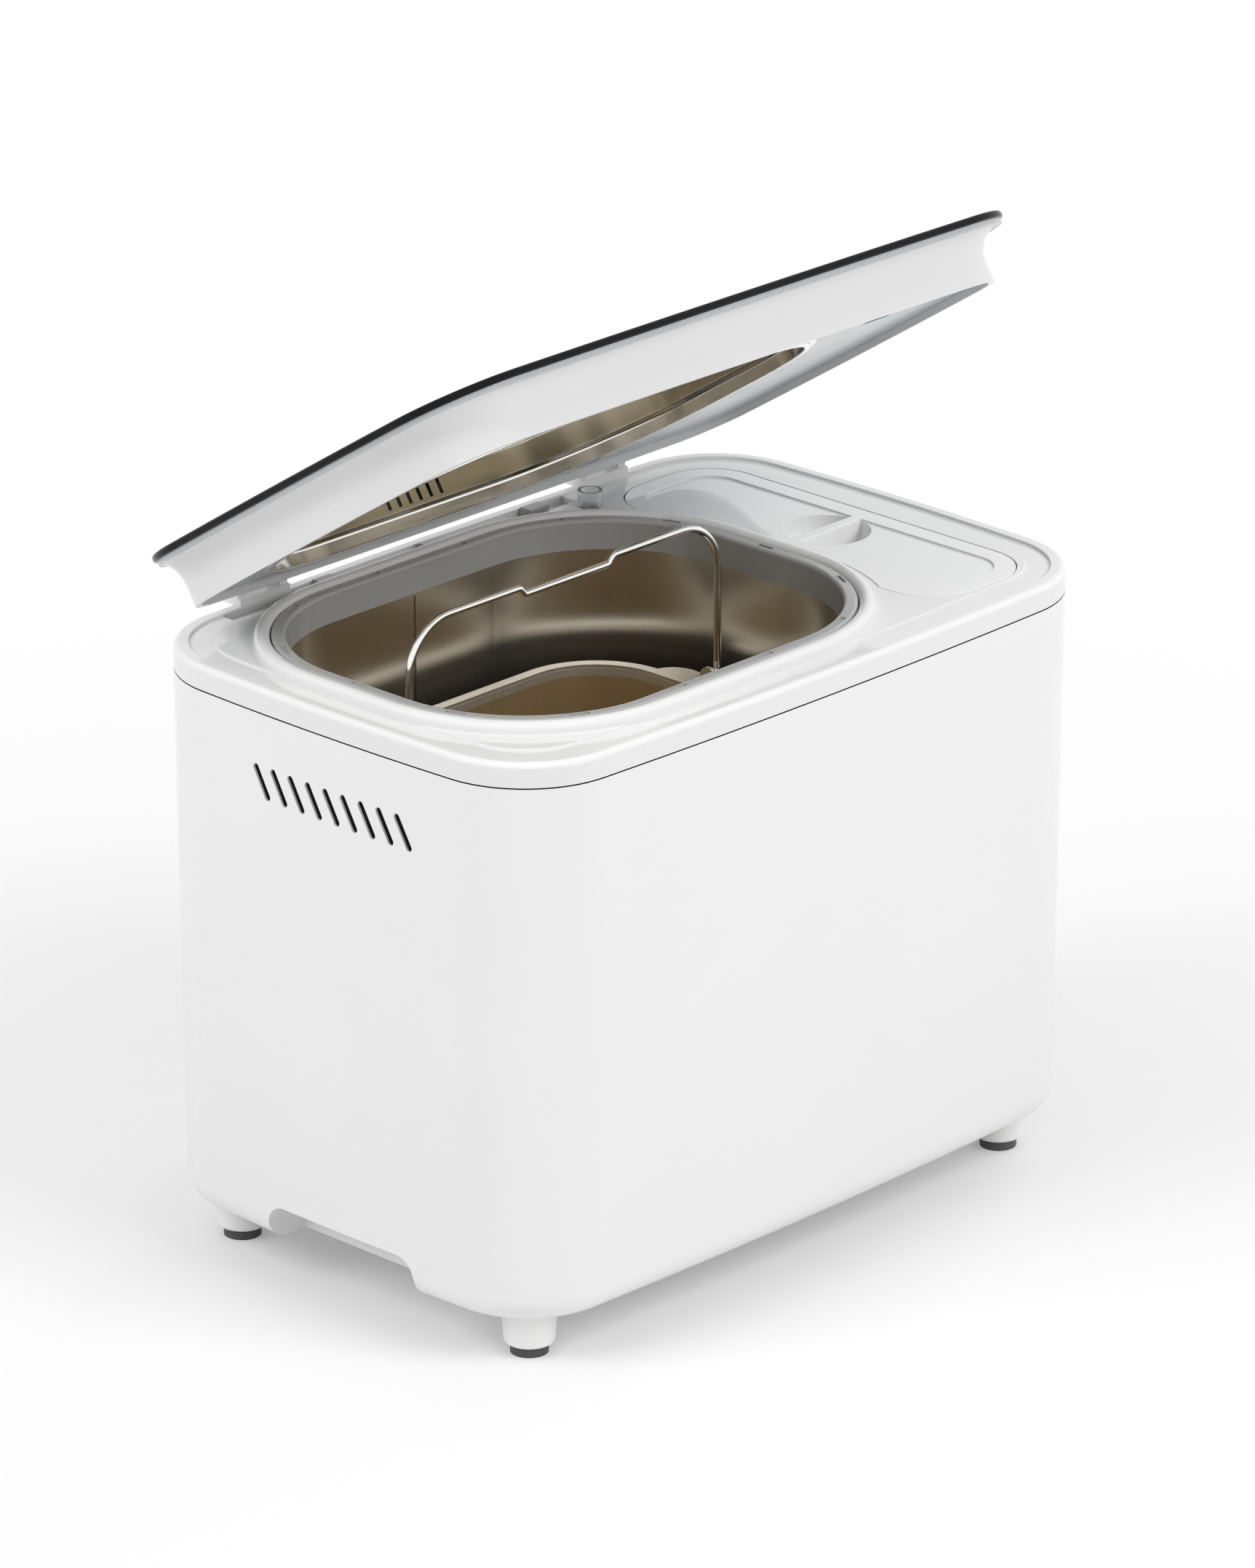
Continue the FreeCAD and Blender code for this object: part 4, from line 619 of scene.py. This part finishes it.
def surface(name, group, light, dark, smooth, rough, bump, metallic=0.0, shine=None, **own):
    """Material whose colour, gloss and height come from one of the shared effects."""
    material, tree, shader, place = blank_material(name)
    effect = node(tree, "ShaderNodeGroup", node_tree=group)
    link(tree, place, effect.inputs["Vector"])
    effect.inputs["Light colour"].default_value = rgba(light)
    effect.inputs["Dark colour"].default_value = rgba(dark)
    effect.inputs["Smooth"].default_value = smooth
    effect.inputs["Rough"].default_value = rough
    for label, value in own.items():
        effect.inputs[label.replace("_", " ")].default_value = value
    relief = node(tree, "ShaderNodeBump", Strength=bump, Distance=RELIEF_DEPTH)
    link(tree, effect.outputs["Height"], relief.inputs["Height"])
    link(tree, effect.outputs["Colour"], shader.inputs["Base Color"])
    link(tree, effect.outputs["Roughness"], shader.inputs["Roughness"])
    link(tree, relief.outputs["Normal"], shader.inputs["Normal"])
    shader.inputs["Metallic"].default_value = metallic
    for label, value in (shine or {}).items():
        shader.inputs[label].default_value = value
    return material


def brush_round(material):
    """Stretch a metal's gloss across brush lines that run round the upright axis."""
    tree = material.node_tree
    shader = tree.nodes["Principled BSDF"]
    shader.inputs["Anisotropic"].default_value = BRUSH_STRETCH
    round_axis = node(tree, "ShaderNodeTangent", direction_type="RADIAL", axis="Z")
    link(tree, round_axis.outputs[0], shader.inputs["Tangent"])


def clear_material(name):
    """Clear moulded plastic with a faintly frosted skin."""
    material, tree, shader, place = blank_material(name)
    cloud = noise(tree, place, scale=300.0)
    smooth, rough = 0.16, 0.26
    light, dark = (0.97, 0.98, 0.98), (0.92, 0.94, 0.95)
    link(tree, ranged(tree, cloud, NOISE_LOW, NOISE_HIGH, smooth, rough), shader.inputs["Roughness"])
    link(tree, mixed_colour(tree, cloud, rgba(light), rgba(dark)), shader.inputs["Base Color"])
    shader.inputs["Transmission Weight"].default_value = 0.85
    shader.inputs["IOR"].default_value = 1.35
    return material


def overprint(material, mask_of, colour):
    """Lay a second colour over a finish where a mask of the object's own coordinates says."""
    tree = material.node_tree
    base = tree.nodes["Principled BSDF"].inputs["Base Color"]
    place = node(tree, "ShaderNodeTexCoord").outputs["Object"]
    plain = base.links[0].from_socket
    link(tree, mixed_colour(tree, mask_of(tree, place), plain, rgba(colour)), base)


def make_materials():
    """Every finish on the machine, by name."""
    looks = {name: surface(name, **values) for name, values in FINISHES.items()}
    looks["clear_plastic_look"] = clear_material("clear_plastic_look")
    brush_round(looks["chamber_steel"])
    for name, mask_of, colour in OVERPRINTS:
        overprint(looks[name], mask_of, colour)
    return looks


def dress(looks):
    """Give each solid its finish."""
    for look, members in WEARERS.items():
        for member in members:
            slots = nodes[member].data.materials
            for index in range(len(slots)):
                slots[index] = looks[look]


# New pieces
def grid_mesh(name, points, material, body):
    """Open mesh from an array of points, rows by columns by three, that rides a body."""
    rows, columns = points.shape[:2]
    index = np.arange(rows * columns).reshape(rows, columns)
    faces = np.stack([index[:-1, :-1], index[:-1, 1:], index[1:, 1:], index[1:, :-1]], axis=-1).reshape(-1, 4)
    mesh = bpy.data.meshes.new(name)
    mesh.from_pydata(points.reshape(-1, 3).tolist(), [], faces.tolist())
    mesh.polygons.foreach_set("use_smooth", np.ones(len(faces), dtype=bool))
    mesh.materials.append(material)
    mesh.update()
    piece = bpy.data.objects.new(name, mesh)
    scene.collection.objects.link(piece)
    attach(piece, body)


def weld_seam(look):
    """Weld line on the chamber's back wall: a half ellipse carried straight up, rippling with the height."""
    height = np.linspace(WELD_LOW, WELD_TOP, WELD_GRID[0])
    turn = np.linspace(0.0, math.pi, WELD_GRID[1])
    row, angle = np.meshgrid(height, turn, indexing="ij")
    ripple = 1.0 + WELD_RIPPLE * np.sin(row * WELD_RIPPLE_RATE)
    points = np.empty(row.shape + (3,))
    points[..., 0] = CHAMBER_X + WELD_HALF_WIDTH * ripple * np.cos(angle)
    points[..., 1] = CHAMBER_BACK - WELD_RISE * ripple * np.sin(angle)
    points[..., 2] = row
    grid_mesh("chamber_weld_seam", points, look, "base")


def vent_shade_sheet(look):
    """Dark sheet behind the vent slots, as painted shade for their dark inside: a flat tray that bows with
    the square of Y and ends at its rim.

    Its depth falls from the middle to nothing at the rim with a high power of the distance across and up.
    """
    across = np.linspace(-1.0, 1.0, SHADE_SHEET_GRID[0])
    up = np.linspace(-1.0, 1.0, SHADE_SHEET_GRID[1])
    side, rise = np.meshgrid(across, up, indexing="ij")
    depth = SHADE_SHEET_DEPTH * (1.0 - side ** SHADE_SHEET_FLATNESS) * (1.0 - rise ** SHADE_SHEET_FLATNESS)
    y = SHADE_SHEET_Y + SHADE_SHEET_HALF_WIDTH * side
    points = np.empty(side.shape + (3,))
    points[..., 0] = SHADE_SHEET_X + WALL_BOW * (y / WALL_BOW_REACH) ** 2 + depth
    points[..., 1] = y
    points[..., 2] = SHADE_SHEET_Z + SHADE_SHEET_HALF_HEIGHT * rise
    grid_mesh("vent_shade_sheet", points, look, "base")


# Light and ground
def floor_material():
    """Matt pale floor that takes a shadow near the machine and, to the eye, fades to white further out."""
    material = bpy.data.materials.new("floor_white")
    material.use_nodes = True
    tree = material.node_tree
    tree.nodes.remove(tree.nodes["Principled BSDF"])
    distance = node(tree, "ShaderNodeVectorMath", operation="LENGTH")
    link(tree, node(tree, "ShaderNodeTexCoord").outputs["Object"], distance.inputs[0])
    fade = ranged(tree, distance.outputs["Value"], FLOOR_FADE_START, FLOOR_FADE_END, FLOOR_LIFT, 1.0)
    matt = node(tree, "ShaderNodeBsdfDiffuse", Color=rgba((FLOOR_GREY, FLOOR_GREY, FLOOR_GREY)))
    bright = node(tree, "ShaderNodeEmission", Strength=1.0)
    blend = node(tree, "ShaderNodeMixShader")
    link(tree, maths(tree, "MULTIPLY", seen_rays(tree), fade), blend.inputs[0])
    link(tree, matt.outputs[0], blend.inputs[1])
    link(tree, bright.outputs[0], blend.inputs[2])
    link(tree, blend.outputs[0], tree.nodes["Material Output"].inputs["Surface"])
    return material


def make_floor():
    """One wide square at the height of the foot pads."""
    half = FLOOR_HALF
    corners = [(-half, -half, 0.0), (half, -half, 0.0), (half, half, 0.0), (-half, half, 0.0)]
    mesh = bpy.data.meshes.new("floor")
    mesh.from_pydata(corners, [], [(0, 1, 2, 3)])
    mesh.materials.append(floor_material())
    floor = bpy.data.objects.new("floor", mesh)
    scene.collection.objects.link(floor)


def make_world():
    """Even pale surroundings: white to the eye and to gloss, a little softer as light."""
    world = bpy.data.worlds.new("studio")
    scene.world = world
    world.use_nodes = True
    tree = world.node_tree
    back = tree.nodes["Background"]
    back.inputs["Color"].default_value = rgba((1.0, 1.0, 1.0))
    link(tree, ranged(tree, seen_rays(tree), 0.0, 1.0, AMBIENT, 1.0), back.inputs["Strength"])


def area_lamp(name, place, aim, size, power):
    """Soft rectangular lamp that faces a point on the upright axis and doesn't show in gloss."""
    data = bpy.data.lights.new(name, "AREA")
    data.shape = "RECTANGLE"
    data.size, data.size_y = size
    data.energy = power
    lamp = bpy.data.objects.new(name, data)
    scene.collection.objects.link(lamp)
    away = np.array(place) - np.array((0.0, 0.0, aim))
    flat = math.hypot(away[0], away[1])
    lamp.visible_glossy = False
    lamp.location = place
    lamp.rotation_euler = (math.atan2(flat, away[2]), 0.0, math.atan2(away[0], -away[1]))


def make_lamps():
    """Broad lamps to both sides of the camera, and weak ones from the right and from overhead."""
    for name, values in LAMPS.items():
        area_lamp(name, **values)


aim_camera()
make_world()
make_lamps()
make_floor()
looks = make_materials()
dress(looks)
weld_seam(looks["weld_steel"])
# Dark sheet behind the vent slots, as painted shade
vent_shade_sheet(looks["painted_shade_sheet"])

scene.view_settings.view_transform = "Standard"
